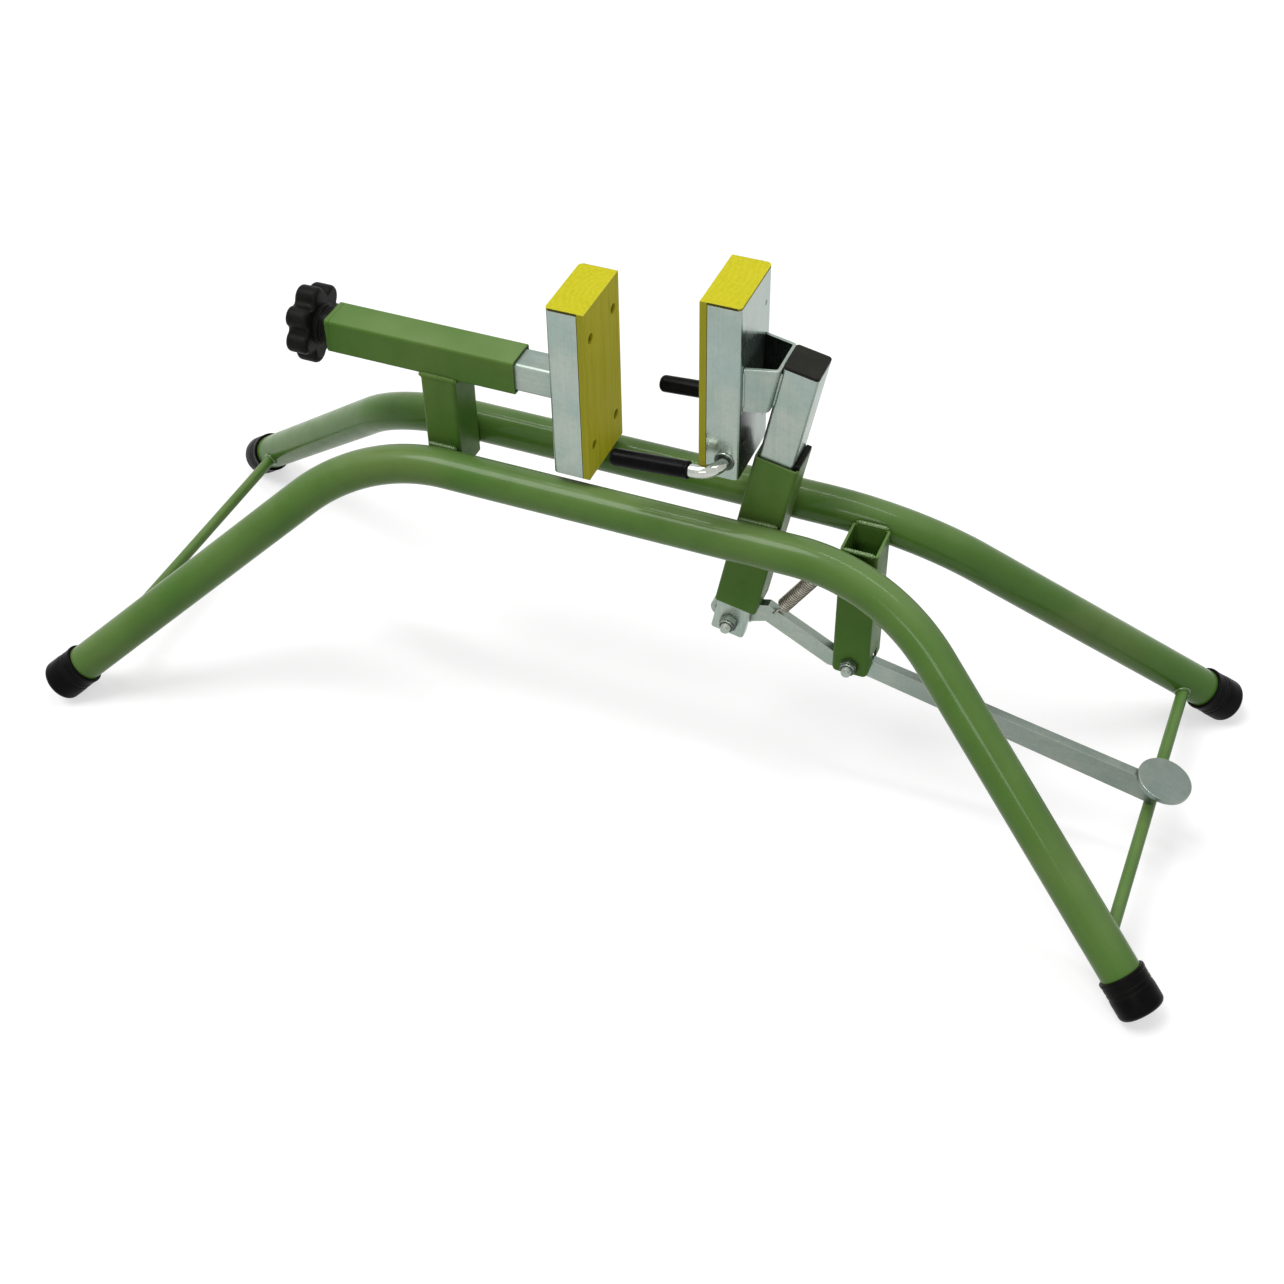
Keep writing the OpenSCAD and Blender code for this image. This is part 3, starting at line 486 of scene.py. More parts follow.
def black_rubber():
    """Moulded rubber: matt, a bloom of grey, scuffed where it meets the floor."""
    made = Finish("black_rubber")
    bloom = made.noise(70, 4, 0.65)
    made.base(bloom, 0.4, 0.75, (5, 5, 5), (13, 13, 12))
    made.wear(0.0022, 0.5, 34, 33, 31)
    near_floor = made.within(made.axes(made.place)[2], 7, 0, 0, 0.6)
    made.layer(made.times(near_floor, made.between(bloom, 0.35, 0.6, 0.3, 1)), 74, 70, 62)
    bumps = [(made.noise(1400, 3, 0.7), 0.22, 0.0002), (bloom, 0.06, 0.0006)]
    return made.finished(made.between(bloom, 0.3, 0.75, 0.3, 0.46), bumps, Specular_IOR_Level=0.05)


def black_plastic(name, dark, light):
    """Moulded thermoplastic with a fine spark-eroded grain and polished touch points."""
    made = Finish(name)
    cloudy = made.noise(60, 3, 0.6)
    made.base(cloudy, 0.4, 0.75, dark, light)
    rubbed = made.wear(0.0022, made.between(cloudy, 0.35, 0.65, 0.3, 0.9), 52, 51, 48)
    rough = made.plus(made.between(cloudy, 0.3, 0.7, 0.36, 0.5), made.times(rubbed, -0.12))
    bumps = [(made.cells(1700), 0.25, 0.00015), (cloudy, 0.04, 0.0006)]
    return made.finished(rough, bumps, Specular_IOR_Level=0.08)


def black_vinyl():
    """Dip-moulded soft vinyl: satin, slightly wavy, with rubbed stretches."""
    made = Finish("black_vinyl")
    wavy = made.noise(120, 3, 0.5)
    rubbed = made.noise(1, 3, 0.6, made.stretched((60, 700, 700)))
    made.base(wavy, 0.4, 0.7, (6, 6, 6), (13, 12, 12))
    made.patches(rubbed, 0.62, 0.75, 0.35, 34, 32, 31)
    bumps = [(wavy, 0.08, 0.0008), (made.noise(1500, 2, 0.6), 0.08, 0.0001)]
    return made.finished(made.between(wavy, 0.3, 0.7, 0.24, 0.34), bumps, Specular_IOR_Level=0.05)


def chrome_rod():
    """Polished chrome with hairline scratches round the rod and a breath of haze."""
    made = Finish("chrome_rod")
    haze = made.noise(90, 4, 0.6)
    hair = made.noise(1, 4, 0.7, made.stretched((2400, 90, 2400)))
    made.base(haze, 0.4, 0.8, (188, 192, 184), (160, 164, 156))
    # Painted shade deep in corners.
    made.corner_shade(0.006, 0.6, 60, 62, 56)
    scratch = made.between(hair, 0.66, 0.76)
    rough = made.plus(made.between(haze, 0.3, 0.8, 0.07, 0.17), made.times(scratch, 0.15))
    return made.finished(rough, [(scratch, 0.05, 0.00005)], Metallic=1.0)


def spring_wire():
    """Oiled spring steel, drawn along the wire, brown where the oil has dried, with painted shade deep
    between the curls.
    """
    made = Finish("spring_wire")
    cloudy = made.noise(160, 4, 0.65)
    drawn = made.noise(2200, 3, 0.7)
    made.base(cloudy, 0.35, 0.7, (184, 178, 166), (150, 141, 127))
    made.patches(drawn, 0.55, 0.75, 0.4, 196, 192, 182)
    # Painted shade deep between the curls.
    made.corner_shade(0.003, 0.35, 70, 62, 52)
    return made.finished(made.between(cloudy, 0.3, 0.75, 0.3, 0.48), [(drawn, 0.12, 0.0001)], Metallic=0.6)


def nylon():
    """The locking ring of a nut: milky nylon, a little greasy, with painted shade in its corners."""
    made = Finish("nylon")
    cloudy = made.noise(700, 3, 0.6)
    made.base(cloudy, 0.35, 0.7, (206, 208, 198), (184, 186, 176))
    # Painted shade deep in corners.
    made.corner_shade(0.002, 0.6, 110, 110, 100)
    rough = made.between(cloudy, 0.3, 0.7, 0.34, 0.5)
    deep = (0.001, 0.001, 0.001)
    return made.finished(rough, [(cloudy, 0.1, 0.0001)], Subsurface_Weight=0.1, Subsurface_Radius=deep)


PAINT = green_paint("green_paint", 0.06, 0.26, 0.24)
PAINT_FLAT = green_paint("green_paint_flat", 0.09, 0.36, 0.0)
PAINT_BEAD = green_paint("green_paint_bead", 0.3, 0.14, 0.6)
UPRIGHT = (620, 620, 7)
ZINC_UPRIGHT = zinc_plate("zinc_upright", UPRIGHT)
ZINC_ALONG = zinc_plate("zinc_along", (7, 620, 620), shade=along_shade, satin=0.44)
ZINC_INCLINED = zinc_plate("zinc_inclined", UPRIGHT, (0, -INCLINE, 0), shade=0.06)
ZINC_LEVER = zinc_plate("zinc_lever", (9, 620, 620), (0, -ARM_FALL, 0), 0.06, lever_shade, rim=0.0015)
ZINC_PLATE = zinc_plate("zinc_bracket", UPRIGHT, shade=bracket_shade, rim=0.0018)
ZINC_JAW = zinc_plate("zinc_right_jaw", UPRIGHT, shade=jaw_shade, satin=0.2)
ZINC_BOLT = zinc_plate("zinc_bolt", (900, 240, 900), warm=0.1, shade=0.05, satin=0.16)
ZINC_NUT = zinc_plate("zinc_nut", (900, 240, 900), warm=0.1, shade=facet_shade, satin=0.16)
# Screw heads darkened strongly: a warmer, darker zinc, and painted shade of the recesses they sit in.
ZINC_SCREW = zinc_plate("zinc_screw", (900, 900, 240), warm=0.5, shade=0.72)
PAD_LEFT = yellow_pad("yellow_pad_left", LEFT_WEB_AT + CHANNEL_DEPTH, 1, LEFT_JAW_Z + JAW_H - PAD_RISE)
PAD_RIGHT = yellow_pad("yellow_pad_right", RIGHT_WEB_AT - CHANNEL_DEPTH, -1, RIGHT_JAW_Z + JAW_H - PAD_RISE)
RUBBER = black_rubber()
PLASTIC = black_plastic("black_plastic", (10, 10, 9), (20, 20, 18))
PLUG_PLASTIC = black_plastic("plug_plastic", (29, 30, 24), (42, 42, 35))
VINYL = black_vinyl()
CHROME = chrome_rod()
SPRING = spring_wire()
NYLON = nylon()


# Mesh tools, all in millimetres until a piece is added


def mesh_of(name, shape):
    """A mesh of a shape, which ends there."""
    mesh = bpy.data.meshes.new(name)
    shape.to_mesh(mesh)
    shape.free()
    return mesh


def new_object(name, data):
    piece = bpy.data.objects.new(name, data)
    bpy.context.scene.collection.objects.link(piece)
    return piece


def round_edges(piece, width):
    """Rounds a piece's sharp edges and keeps its flat faces looking flat."""
    if width:
        bevel = piece.modifiers.new("rounded_edges", "BEVEL")
        bevel.width = width * MM
        bevel.segments = 3
        bevel.limit_method = "ANGLE"
        bevel.angle_limit = math.radians(38)
        bevel.use_clamp_overlap = True
    shading = piece.modifiers.new("even_shading", "WEIGHTED_NORMAL")
    shading.keep_sharp = True


def add_piece(name, shape, material, body, stands_for=(), edge=0.0, place=None, sharp=40):
    """Turns a shape in millimetres into a piece of the object, fixed to a body if one is named."""
    if place:
        shape.transform(place)
    shape.transform(Matrix.Scale(MM, 4))
    bmesh.ops.recalc_face_normals(shape, faces=shape.faces)
    mesh = mesh_of(name, shape)
    mesh.shade_smooth()
    mesh.materials.append(material)
    piece = new_object(name, mesh)
    if edge:
        round_edges(piece, edge)
    else:
        mesh.set_sharp_from_angle(angle=math.radians(sharp))
    if body:
        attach(piece, body)
    if stands_for:
        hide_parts(*stands_for)
    return piece


def carry(node, material, edge):
    """Keeps a construction solid, rounds its edges and gives it its material."""
    piece = frame["nodes"][node]
    piece.data.materials.clear()
    piece.data.materials.append(material)
    piece.data.shade_smooth()
    weld = piece.modifiers.new("joined_points", "WELD")
    weld.merge_threshold = 0.00001
    flat = piece.modifiers.new("whole_faces", "DECIMATE")
    flat.decimate_type = "DISSOLVE"
    flat.angle_limit = math.radians(0.6)
    round_edges(piece, edge)


def join(shape, other):
    """Adds another shape's faces to the first."""
    mesh = mesh_of("joined", other)
    shape.from_mesh(mesh)
    bpy.data.meshes.remove(mesh)


def skin(shape, rings):
    """Faces between rings of points, where a ring of one point is the tip of a fan."""
    for low, high in zip(rings, rings[1:]):
        steps = max(len(low), len(high))
        for k in range(steps):
            after = (k + 1) % steps
            lower = (low[k], low[after]) if len(low) > 1 else (low[0],)
            upper = (high[after], high[k]) if len(high) > 1 else (high[0],)
            shape.faces.new(lower + upper)


def closed_skin(shape, rings):
    """A skin with a flat face over each end."""
    skin(shape, rings)
    shape.faces.new(rings[0][::-1])
    shape.faces.new(rings[-1])


def turned(shape, steps, column):
    """Rings of points round Z. The column gives the profile of radius and height at an angle."""
    rows = []
    for k in range(steps):
        turn = 2 * math.pi * k / steps
        rows.append([shape.verts.new((r * math.cos(turn), r * math.sin(turn), z)) for r, z in column(turn)])
    return list(zip(*rows))


def carved(steps, column):
    """A closed shape whose profile may change with the angle round Z."""
    shape = bmesh.new()
    closed_skin(shape, turned(shape, steps, column))
    return shape


def lathe(profile, steps=64):
    """A profile of radius and height turned round Z, and closed. Ends off the axis are joined to each
    other, and a single one gets a disc."""
    shape = bmesh.new()
    points = profile[:1]
    for point in profile[1:]:
        if math.dist(point, points[-1]) > 1e-6:
            points.append(point)
    rings = []
    for radius, height in points:
        rings += turned(shape, steps if radius > 1e-6 else 1, lambda turn: [(radius, height)])
    ends = [ring for ring in (rings[0], rings[-1]) if len(ring) > 1]
    if len(ends) == 2:
        rings.append(rings[0])
    elif ends:
        shape.faces.new(ends[0])
    skin(shape, rings)
    return shape


def sweep(points, radius, sides):
    """A round bar along a path. The radius is one number or one per point."""
    shape = bmesh.new()
    steps = [(end - start).normalized() for start, end in zip(points, points[1:])]
    along = [(into + onward).normalized() for into, onward in zip(steps[:1] + steps, steps + steps[-1:])]
    side = Vector((0, 1, 0)) if abs(along[0].y) < 0.5 else Vector((0, 0, 1))
    rings = []
    for i, point in enumerate(points):
        side = (side - along[i] * side.dot(along[i])).normalized()
        other = along[i].cross(side)
        size = radius[i] if isinstance(radius, list) else radius
        ring = []
        for k in range(sides):
            turn = 2 * math.pi * k / sides
            ring.append(shape.verts.new(point + size * (math.cos(turn) * side + math.sin(turn) * other)))
        rings.append(ring)
    closed_skin(shape, rings)
    return shape


def held(value):
    """The value, kept between 0 and 1."""
    return max(0.0, min(1.0, value))


def arc(centre, radius, start, end, count):
    """Points of an arc in a profile, angles in degrees."""
    points = []
    for i in range(count + 1):
        turn = math.radians(start + (end - start) * i / count)
        points.append((centre[0] + radius * math.cos(turn), centre[1] + radius * math.sin(turn)))
    return points


def shift(x, y, z):
    return Matrix.Translation(Vector((x, y, z)))


def spin(angle, axis):
    return Matrix.Rotation(angle, 4, axis)


def frame_at(origin, z_axis, x_hint):
    """A placement with Z along z_axis."""
    z = Vector(z_axis).normalized()
    hint = Vector(x_hint)
    x = (hint - z * hint.dot(z)).normalized()
    made = Matrix((x, z.cross(x), z)).transposed().to_4x4()
    made.translation = origin
    return made


def weld_bead(name, points, radius, material=PAINT_BEAD, body="frame"):
    """A weld bead: rippled, uneven, drawn out at its ends."""
    points = [Vector(point) for point in points]
    path = []
    for start, end in zip(points, points[1:]):
        steps = max(1, round((end - start).length / BEAD_STEP))
        path += [start.lerp(end, i / steps) for i in range(steps)]
    path.append(points[-1])
    total = sum((b - a).length for a, b in zip(path, path[1:]))
    sizes = []
    run = 0.0
    for i, point in enumerate(path):
        if i:
            run += (point - path[i - 1]).length
        ripple = 1 + 0.09 * math.sin(2 * math.pi * run / BEAD_RIPPLE) + 0.14 * noise.noise(point * 0.35)
        taper = min(1.0, 0.45 + run / 4, 0.45 + (total - run) / 4)
        sizes.append(radius * ripple * taper)
    add_piece(name, sweep(path, sizes, 14), material, body, sharp=60)


# Frame


def pipe_path(side_y):
    """Middle line of a bent pipe, with both legs."""
    straight_end = CORNER_SPAN / 2 - BEND_R * math.tan(BEND_ANGLE / 2)
    reach = LEG_LEN + CAP_LEN - CAP_END
    half = [(straight_end * i / 12, 0.0) for i in range(12)]
    half += arc((straight_end, -BEND_R), BEND_R, 90, 90 - math.degrees(BEND_ANGLE), 40)
    start = half[-1]
    end = (CORNER_SPAN / 2 + reach * math.cos(BEND_ANGLE), -reach * math.sin(BEND_ANGLE))
    half += [tuple(a + (b - a) * i / 12 for a, b in zip(start, end)) for i in range(1, 13)]
    flat = [(-x, z) for x, z in half[:0:-1]] + half
    place = shift(0, side_y * PIPE_Y, PIPE_Z) @ spin(side_y * LEG_LEAN, "X")
    return [place @ Vector((x, 0, z)) for x, z in flat]


def pipes():
    for side_y, face in FACES:
        node = face + "_pipe"
        shape = sweep(pipe_path(side_y), PIPE_D / 2, 72)
        add_piece(node + "_smooth", shape, PAINT, "frame", [node])


def leg_frame(side_x, side_y, along=0.0):
    """A placement on a leg's middle line, with Z running down the leg."""
    corner = Vector((side_x * CORNER_SPAN / 2, side_y * PIPE_Y, PIPE_Z))
    leg = Vector((side_x * LEG.x, side_y * LEG.y, -LEG.z)).normalized()
    return frame_at(corner + leg * along, leg, (0, 0, 1))


def foot_caps():
    """Rubber caps with a lip, two grip rings and a flattened sole."""
    bore = PIPE_D / 2 + BORE_PLAY
    wall = CAP_R - 0.35
    edge_at = CAP_LEN - CAP_EDGE
    profile = [(bore, CAP_END + 2), (bore, 0.7)] + arc((bore + 0.7, 0.7), 0.7, 180, 270, 4)
    profile += arc((CAP_R - 1.0, 1.0), 1.0, 270, 360, 5)
    profile += arc((CAP_R - 1.0, 2.6), 1.0, 0, 50, 4)
    profile.append((wall, 4.6))
    for low in (8.0, 12.2):
        profile += [(wall, low), (wall - 0.5, low + 0.5), (wall - 0.5, low + 1.3), (wall, low + 1.8)]
    profile += [(CAP_R, 17.0), (CAP_R, edge_at)]
    profile += arc((CAP_R - CAP_EDGE, edge_at), CAP_EDGE, 0, 90, 10)
    profile += [(8, CAP_LEN), (0, CAP_LEN)]
    for side_y, face in FACES:
        for side_x, side in SIDES:
            shape = lathe(profile, 96)
            shape.transform(leg_frame(side_x, side_y, LEG_LEN))
            for vert in shape.verts:
                vert.co.z = max(vert.co.z, 0.0)
            node = f"foot_cap_{face}_{side}"
            add_piece(node + "_moulded", shape, RUBBER, "frame", [node], sharp=30)


def on_leg(x, z, side_x, side_y):
    """The spot over X and Z where a bead lies on a leg's inner side, found by halving."""
    place = leg_frame(side_x, side_y)
    axis = place.to_3x3() @ Vector((0, 0, 1))
    spot = Vector((x, 0, z))
    low, high = 0.0, BRACE_Y
    for _ in range(30):
        middle = (low + high) / 2
        spot.y = side_y * middle
        away = spot - place.translation
        if (away - axis * away.dot(axis)).length > PIPE_D / 2 + BEAD_OUT:
            low = middle
        else:
            high = middle
    return spot


def brace_welds():
    """Rings of weld where the brace rods meet the legs."""
    for side_x, side in SIDES:
        ring = arc((side_x * BRACE_X, BRACE_Z), BRACE_D / 2 + BEAD_OUT, 0, 360, 48)
        for side_y, face in FACES:
            points = [on_leg(x, z, side_x, side_y) for x, z in ring]
            weld_bead(f"brace_weld_{face}_{side}", points, 1.5)


def sleeve_middle(height):
    """Where the inclined sleeve's middle is along X at a height."""
    aside = (SLEEVE_X - 2 * SLEEVE_WALL - CARRIAGE_X) / 2 - SLIDING_PLAY
    along = (height - TOP.z + aside * math.sin(INCLINE_RAD)) / math.cos(INCLINE_RAD)
    return TOP.x + aside * math.cos(INCLINE_RAD) + along * math.sin(INCLINE_RAD)


def groove_welds():
    """Beads in the grooves between the flat sides of the posts and the round pipes."""
    bead = 2.6
    sunk = bead * 0.55
    out = PIPE_GAP / 2 + sunk
    rise = math.sqrt((PIPE_D / 2 + sunk) ** 2 - (PIPE_Y - out) ** 2)
    post_half = POST_X / 2
    sleeve_half = SLEEVE_X / 2 / math.cos(INCLINE_RAD)
    for side_y, face in FACES:
        for side_z, level in ((-1, "low"), (1, "high")):
            height = PIPE_Z + side_z * rise
            runs = [("post", LEFT_POST_AT, post_half), ("sleeve", sleeve_middle(height), sleeve_half)]
            if side_z < 0:
                runs.append(("pivot", PIVOT_AT, post_half))
            for name, middle, half in runs:
                ends = [(middle + s * (half - 2.5), side_y * out, height) for s in (-1, 1)]
                weld_bead(f"{name}_weld_{face}_{level}", ends, bead)
        y = side_y * (PIPE_GAP / 2 + 0.1)
        ends = [(PIVOT_AT + s * (post_half - 2), y, PIPE_Z + PIVOT_POST_ABOVE + 0.7) for s in (-1, 1)]
        weld_bead(f"pivot_weld_{face}_top", ends, 2.1)


def guide_welds():
    """Fillets between the left post and the guide tube."""
    low = GUIDE_Z - GUIDE_SIZE / 2
    for side_x, side in SIDES:
        x = LEFT_POST_AT + side_x * (POST_X / 2 + 0.9)
        weld_bead(f"guide_weld_{side}", [(x, y, low - 0.9) for y in (-13.5, 13.5)], 2.4, PAINT_FLAT)
    left, right = LEFT_POST_AT - POST_X / 2 - 1.5, LEFT_POST_AT + POST_X / 2 + 1.0
    for side_y, face in FACES:
        y = side_y * (GUIDE_SIZE / 2 + 0.5)
        weld_bead(f"guide_weld_{face}", [(x, y, low + 0.4) for x in (left, right)], 2.3, PAINT_FLAT)


def eye_welds():
    """Small beads beside the spring's eye plate."""
    x = PIVOT_AT - POST_X / 2 - 0.3
    for side_y, face in FACES:
        ends = [(x, side_y * 1.8, PIPE_Z - EYE_BELOW + z) for z in (-3.6, 3.6)]
        weld_bead(f"eye_weld_{face}", ends, 0.9)


# Fasteners


def hexagon(height, bore=0.0, both=False):
    """A hexagonal nut or head from Z=0 to its height, with the turned chamfer that leaves curved edges
    on top, or on both sides. A nut has a bore."""
    flat = HEX_FLATS / 2
    chamfer_from = flat * 0.98
    slope = math.tan(math.radians(28))

    def column(turn):
        radius = flat / math.cos((turn + math.pi / 6) % (math.pi / 3) - math.pi / 6)
        cut = max(0.0, radius - chamfer_from) * slope
        made = [(chamfer_from, 0.0), (radius, cut)] if both else [(radius, 0.0)]
        made += [(radius, height - cut), (chamfer_from, height)]
        return made + [(bore, height), (bore, 0.0)] if bore else made

    if not bore:
        return carved(96, column)
    shape = bmesh.new()
    rings = turned(shape, 96, column)
    skin(shape, rings + rings[:1])
    return shape


def thread(radius, start, end):
    """A threaded shank as one closed skin, whose radius follows the helix and shrinks at the outer end."""
    pitch = 1.25
    depth = 0.62
    count = round((end - start) / pitch * 10)
    heights = [start + (end - start) * i / count for i in range(count + 1)]

    def column(turn):
        made = []
        for z in heights:
            phase = (z / pitch - turn / (2 * math.pi)) % 1.0
            lead_in = 0.7 * (1 - min(1.0, end - z))
            made.append((radius - depth * abs(2 * phase - 1) - lead_in, z))
        return made

    return carved(36, column)


def cross_bolt(name, centre, half_w, body):
    """A through bolt with a chamfered head behind and a threaded tail in front."""
    shape = hexagon(HEX_HEAD_T)
    shape.transform(frame_at(centre + Vector((0, half_w, 0)), (0, 1, 0), (1, 0, 0)))
    radius = BOLT_D / 2
    shank = lathe([(0, -half_w), (radius, -half_w), (radius, half_w), (0, half_w)], 48)
    join(shank, thread(radius, half_w, half_w + NUT_T + BOLT_TAIL))
    shank.transform(frame_at(centre, (0, -1, 0), (1, 0, 0)))
    join(shape, shank)
    node = name + "_bolt"
    add_piece(node + "_threaded", shape, ZINC_BOLT, body, [node], sharp=30)


def lock_nut(name, centre, half_w, body):
    """A nut with a nylon locking ring in its crown."""
    place = frame_at(centre + Vector((0, -half_w, 0)), (0, -1, 0), (1, 0, 0))
    hex_part = NUT_T * 0.72
    shape = hexagon(hex_part, BOLT_D / 2, both=True)
    r = HEX_FLATS / 2 - 0.35
    opening = r - 1.7
    profile = [(r, hex_part - 0.4)] + arc((r - 1.2, NUT_T - 1.3), 1.2, 0, 90, 6)
    profile += [(opening, NUT_T - 0.1), (opening, hex_part - 0.4)]
    join(shape, lathe(profile))
    node = name + "_nut"
    add_piece(node + "_hexagon", shape, ZINC_NUT, body, [node], place=place, sharp=30)
    inner = BOLT_D / 2 - 0.2
    outer = opening + 0.05
    low, high = NUT_T - 1.6, NUT_T - 0.5
    ring = lathe([(inner, low), (inner, high - 0.25), (inner + 0.25, high), (outer, high), (outer, low)])
    add_piece(node + "_locking_ring", ring, NYLON, body, place=place, sharp=50)


def pad_screw(y, z, turn):
    """A domed screw with a cross recess, seated in the pad."""
    seat = CHANNEL_DEPTH + PAD_PROUD - RECESS_DEPTH
    dome_from = 0.25
    head_r = SCREW_HEAD_D / 2
    outline = [(SCREW_D / 2, -seat), (SCREW_D / 2, 0.0), (head_r - 0.2, 0.0), (head_r, dome_from)]
    for i in range(1, 15):
        rising = i / 14 * math.pi / 2
        height = dome_from + (SCREW_HEAD_T - dome_from) * math.sin(rising) ** 0.8
        outline.append((head_r * math.cos(rising * 0.98), height))

    def column(angle):
        """The outline with the cross sunk into the dome."""
        made = []
        for radius, height in outline:
            near, far = sorted((abs(radius * math.cos(angle)), abs(radius * math.sin(angle))))
            depth = 1.5 * held((0.6 - near) / 0.2) * held((1.9 - far) / 0.3)
            made.append((radius, height - depth if height > 1.0 else height))
        return made

    shape = carved(64, column)
    shape.transform(shift(seat, y, z) @ spin(math.pi / 2, "Y") @ spin(turn, "Z"))
    return shape


def pad_screws(node, web_at, facing, low, body):
    """A pad's four screws. For the jaw that faces left, a turn takes the place of the mirror."""
    shape = bmesh.new()
    spots = [(s * SCREW_COLUMNS / 2, z) for s in (-1, 1) for z in (SCREW_INSET, JAW_H - SCREW_INSET)]
    for i, (y, z) in enumerate(spots):
        join(shape, pad_screw(y, z, 0.4 + 1.1 * i))
    place = shift(web_at, 0, low) @ spin(math.pi if facing < 0 else 0.0, "Z")
    add_piece(node + "_recessed", shape, ZINC_SCREW, body, [node], place=place, sharp=35)


# Knob


def star_radius(turn):
    """Distance from the knob's middle to its outline, of round lobes with round hollows between them."""
    half = math.pi / LOBE_COUNT
    lobe_at = KNOB_D / 2 - LOBE_R
    side = lobe_at * math.sin(half)
    hollow_at = lobe_at * math.cos(half) + math.sqrt((LOBE_R + HOLLOW_R) ** 2 - side**2)
    lobe_share = LOBE_R / (LOBE_R + HOLLOW_R)
    meet_x = lobe_at + (hollow_at * math.cos(half) - lobe_at) * lobe_share
    meet_y = hollow_at * math.sin(half) * lobe_share
    local = abs((turn + half) % (2 * half) - half)
    if local <= math.atan2(meet_y, meet_x):
        return lobe_at * math.cos(local) + math.sqrt(max(0.0, LOBE_R**2 - (lobe_at * math.sin(local)) ** 2))
    rest = half - local
    return hollow_at * math.cos(rest) - math.sqrt(max(0.0, HOLLOW_R**2 - (hollow_at * math.sin(rest)) ** 2))


def knob_head():
    """The lobed head with rounded rims and a dished front with a raised boss."""
    rim = 4.0
    front = HUB_LEN + HEAD_T
    low, high = HUB_LEN + rim, front - rim
    lobed = arc((-rim, low), rim, -90, 0, 8)
    lobed += [(0.0, low + (high - low) * share) for share in (0.25, 0.5, 0.75)]
    lobed += arc((-rim, high), rim, 0, 90, 8)
    dish = [(17.0, 0.0), (15.4, 0.2), (14.6, 0.9), (14.2, 1.6)]
    dish += [(11.4, 1.6), (10.9, 1.2), (10.4, 0.5), (9.6, 0.3)]

    def column(turn):
        outline = star_radius(turn)
        made = [(11.0, HUB_LEN + 1.0)] + [(outline + out, height) for out, height in lobed]
        return made + [(radius, front - depth) for radius, depth in dish]

    return carved(42 * LOBE_COUNT, column)


def star_knob():
    """The head and its hub, which has a groove and a flare towards the head."""
    shape = knob_head()
    r = HUB_D / 2
    flare = 2.0
    bore = 6.2
    profile = [(bore, 0)] + arc((r - 0.8, 0.8), 0.8, 270, 360, 4)
    profile += [(r, 4.0), (r - 0.4, 4.4), (r - 0.4, 5.0), (r, 5.4)]
    profile += arc((r + flare, HUB_LEN - flare), flare, 180, 90, 5)
    profile += [(r + flare, HUB_LEN + 0.5), (bore, HUB_LEN + 0.5)]
    join(shape, lathe(profile, 96))
    place = frame_at(Vector((KNOB_X, 0, GUIDE_Z)), (-1, 0, 0), (0, 0, 1))
    node = "star_knob"
    add_piece(node + "_moulded", shape, PLASTIC, "knob", [node], place=place, sharp=35)


# Right jaw's carrier


def tube_face(rise):
    """The inclined tube's left face along X, at a height above the pipes."""
    half = CARRIAGE_X / 2 / math.cos(INCLINE_RAD)
    return TOP.x - half - (CARRIAGE_TOP_RISE - rise) * math.tan(INCLINE_RAD)


def bracket_half(x):
    """Half of the bracket's width, which narrows from the jaw to the inclined tube."""
    narrowing = (BRACKET_JAW_W - BRACKET_W) / 2 / (tube_face(BRACKET_HIGH) - RIGHT_WEB_AT)
    return BRACKET_JAW_W / 2 - (x - RIGHT_WEB_AT) * narrowing


def bracket_line(face, inset, radius):
    """Plan of one skin of the bracket at one height, from the front flange round to the rear one."""
    narrowing = math.atan2(bracket_half(RIGHT_WEB_AT) - bracket_half(face), face - RIGHT_WEB_AT)
    inset /= math.cos(narrowing)
    turn_by = math.pi / 2 - narrowing
    middle = (face - radius, inset - bracket_half(face) + radius * math.tan(turn_by / 2))
    points = [(RIGHT_WEB_AT, inset - bracket_half(RIGHT_WEB_AT))]
    points += arc(middle, radius, -math.degrees(turn_by), 0, 8)
    return points + [(x, -y) for x, y in points[::-1]]


def jaw_bracket():
    """A plate bent to a tapered channel between the jaw's web and the inclined tube."""
    shape = bmesh.new()
    rows = []
    sheet = BRACKET_T / math.cos(INCLINE_RAD)
    for rise in (BRACKET_LOW, BRACKET_HIGH):
        outside = bracket_line(tube_face(rise), 0.0, BRACKET_CORNER)
        inside = bracket_line(tube_face(rise) - sheet, BRACKET_T, BRACKET_CORNER - BRACKET_T)
        rows.append([shape.verts.new((x, y, PIPE_Z + rise)) for x, y in outside + inside[::-1]])
    skin(shape, rows)
    for row in rows:
        for k in range(len(row) // 2 - 1):
            shape.faces.new((row[k], row[k + 1], row[-2 - k], row[-1 - k]))
    add_piece("jaw_bracket_bent", shape, ZINC_PLATE, "carriage", ["jaw_bracket"], edge=0.5)


def bracket_welds():
    """Short beads that hold the bracket to the jaw and to the inclined tube."""
    for side_y, face in FACES:
        y = side_y * (BRACKET_JAW_W / 2 - 0.1)
        ends = [(RIGHT_WEB_AT + 0.3, y, PIPE_Z + rise) for rise in (BRACKET_LOW + 3, BRACKET_HIGH - 3)]
        weld_bead(f"jaw_weld_{face}", ends, 1.1, ZINC_PLATE, "carriage")
        y = side_y * (CARRIAGE_Y / 2 + 0.2)
        ends = [(tube_face(rise) + 0.7, y, PIPE_Z + rise) for rise in (BRACKET_LOW + 3, BRACKET_HIGH - 4)]
        weld_bead(f"tube_weld_{face}", ends, 1.3, ZINC_PLATE, "carriage")


def rod_place():
    """The rod's placement, with its arms along -X."""
    origin = shift(RIGHT_WEB_AT - ROD_SETBACK, 0, RIGHT_JAW_Z + ROD_RISE)
    return origin @ spin(math.radians(-ARM_DROOP), "Y")


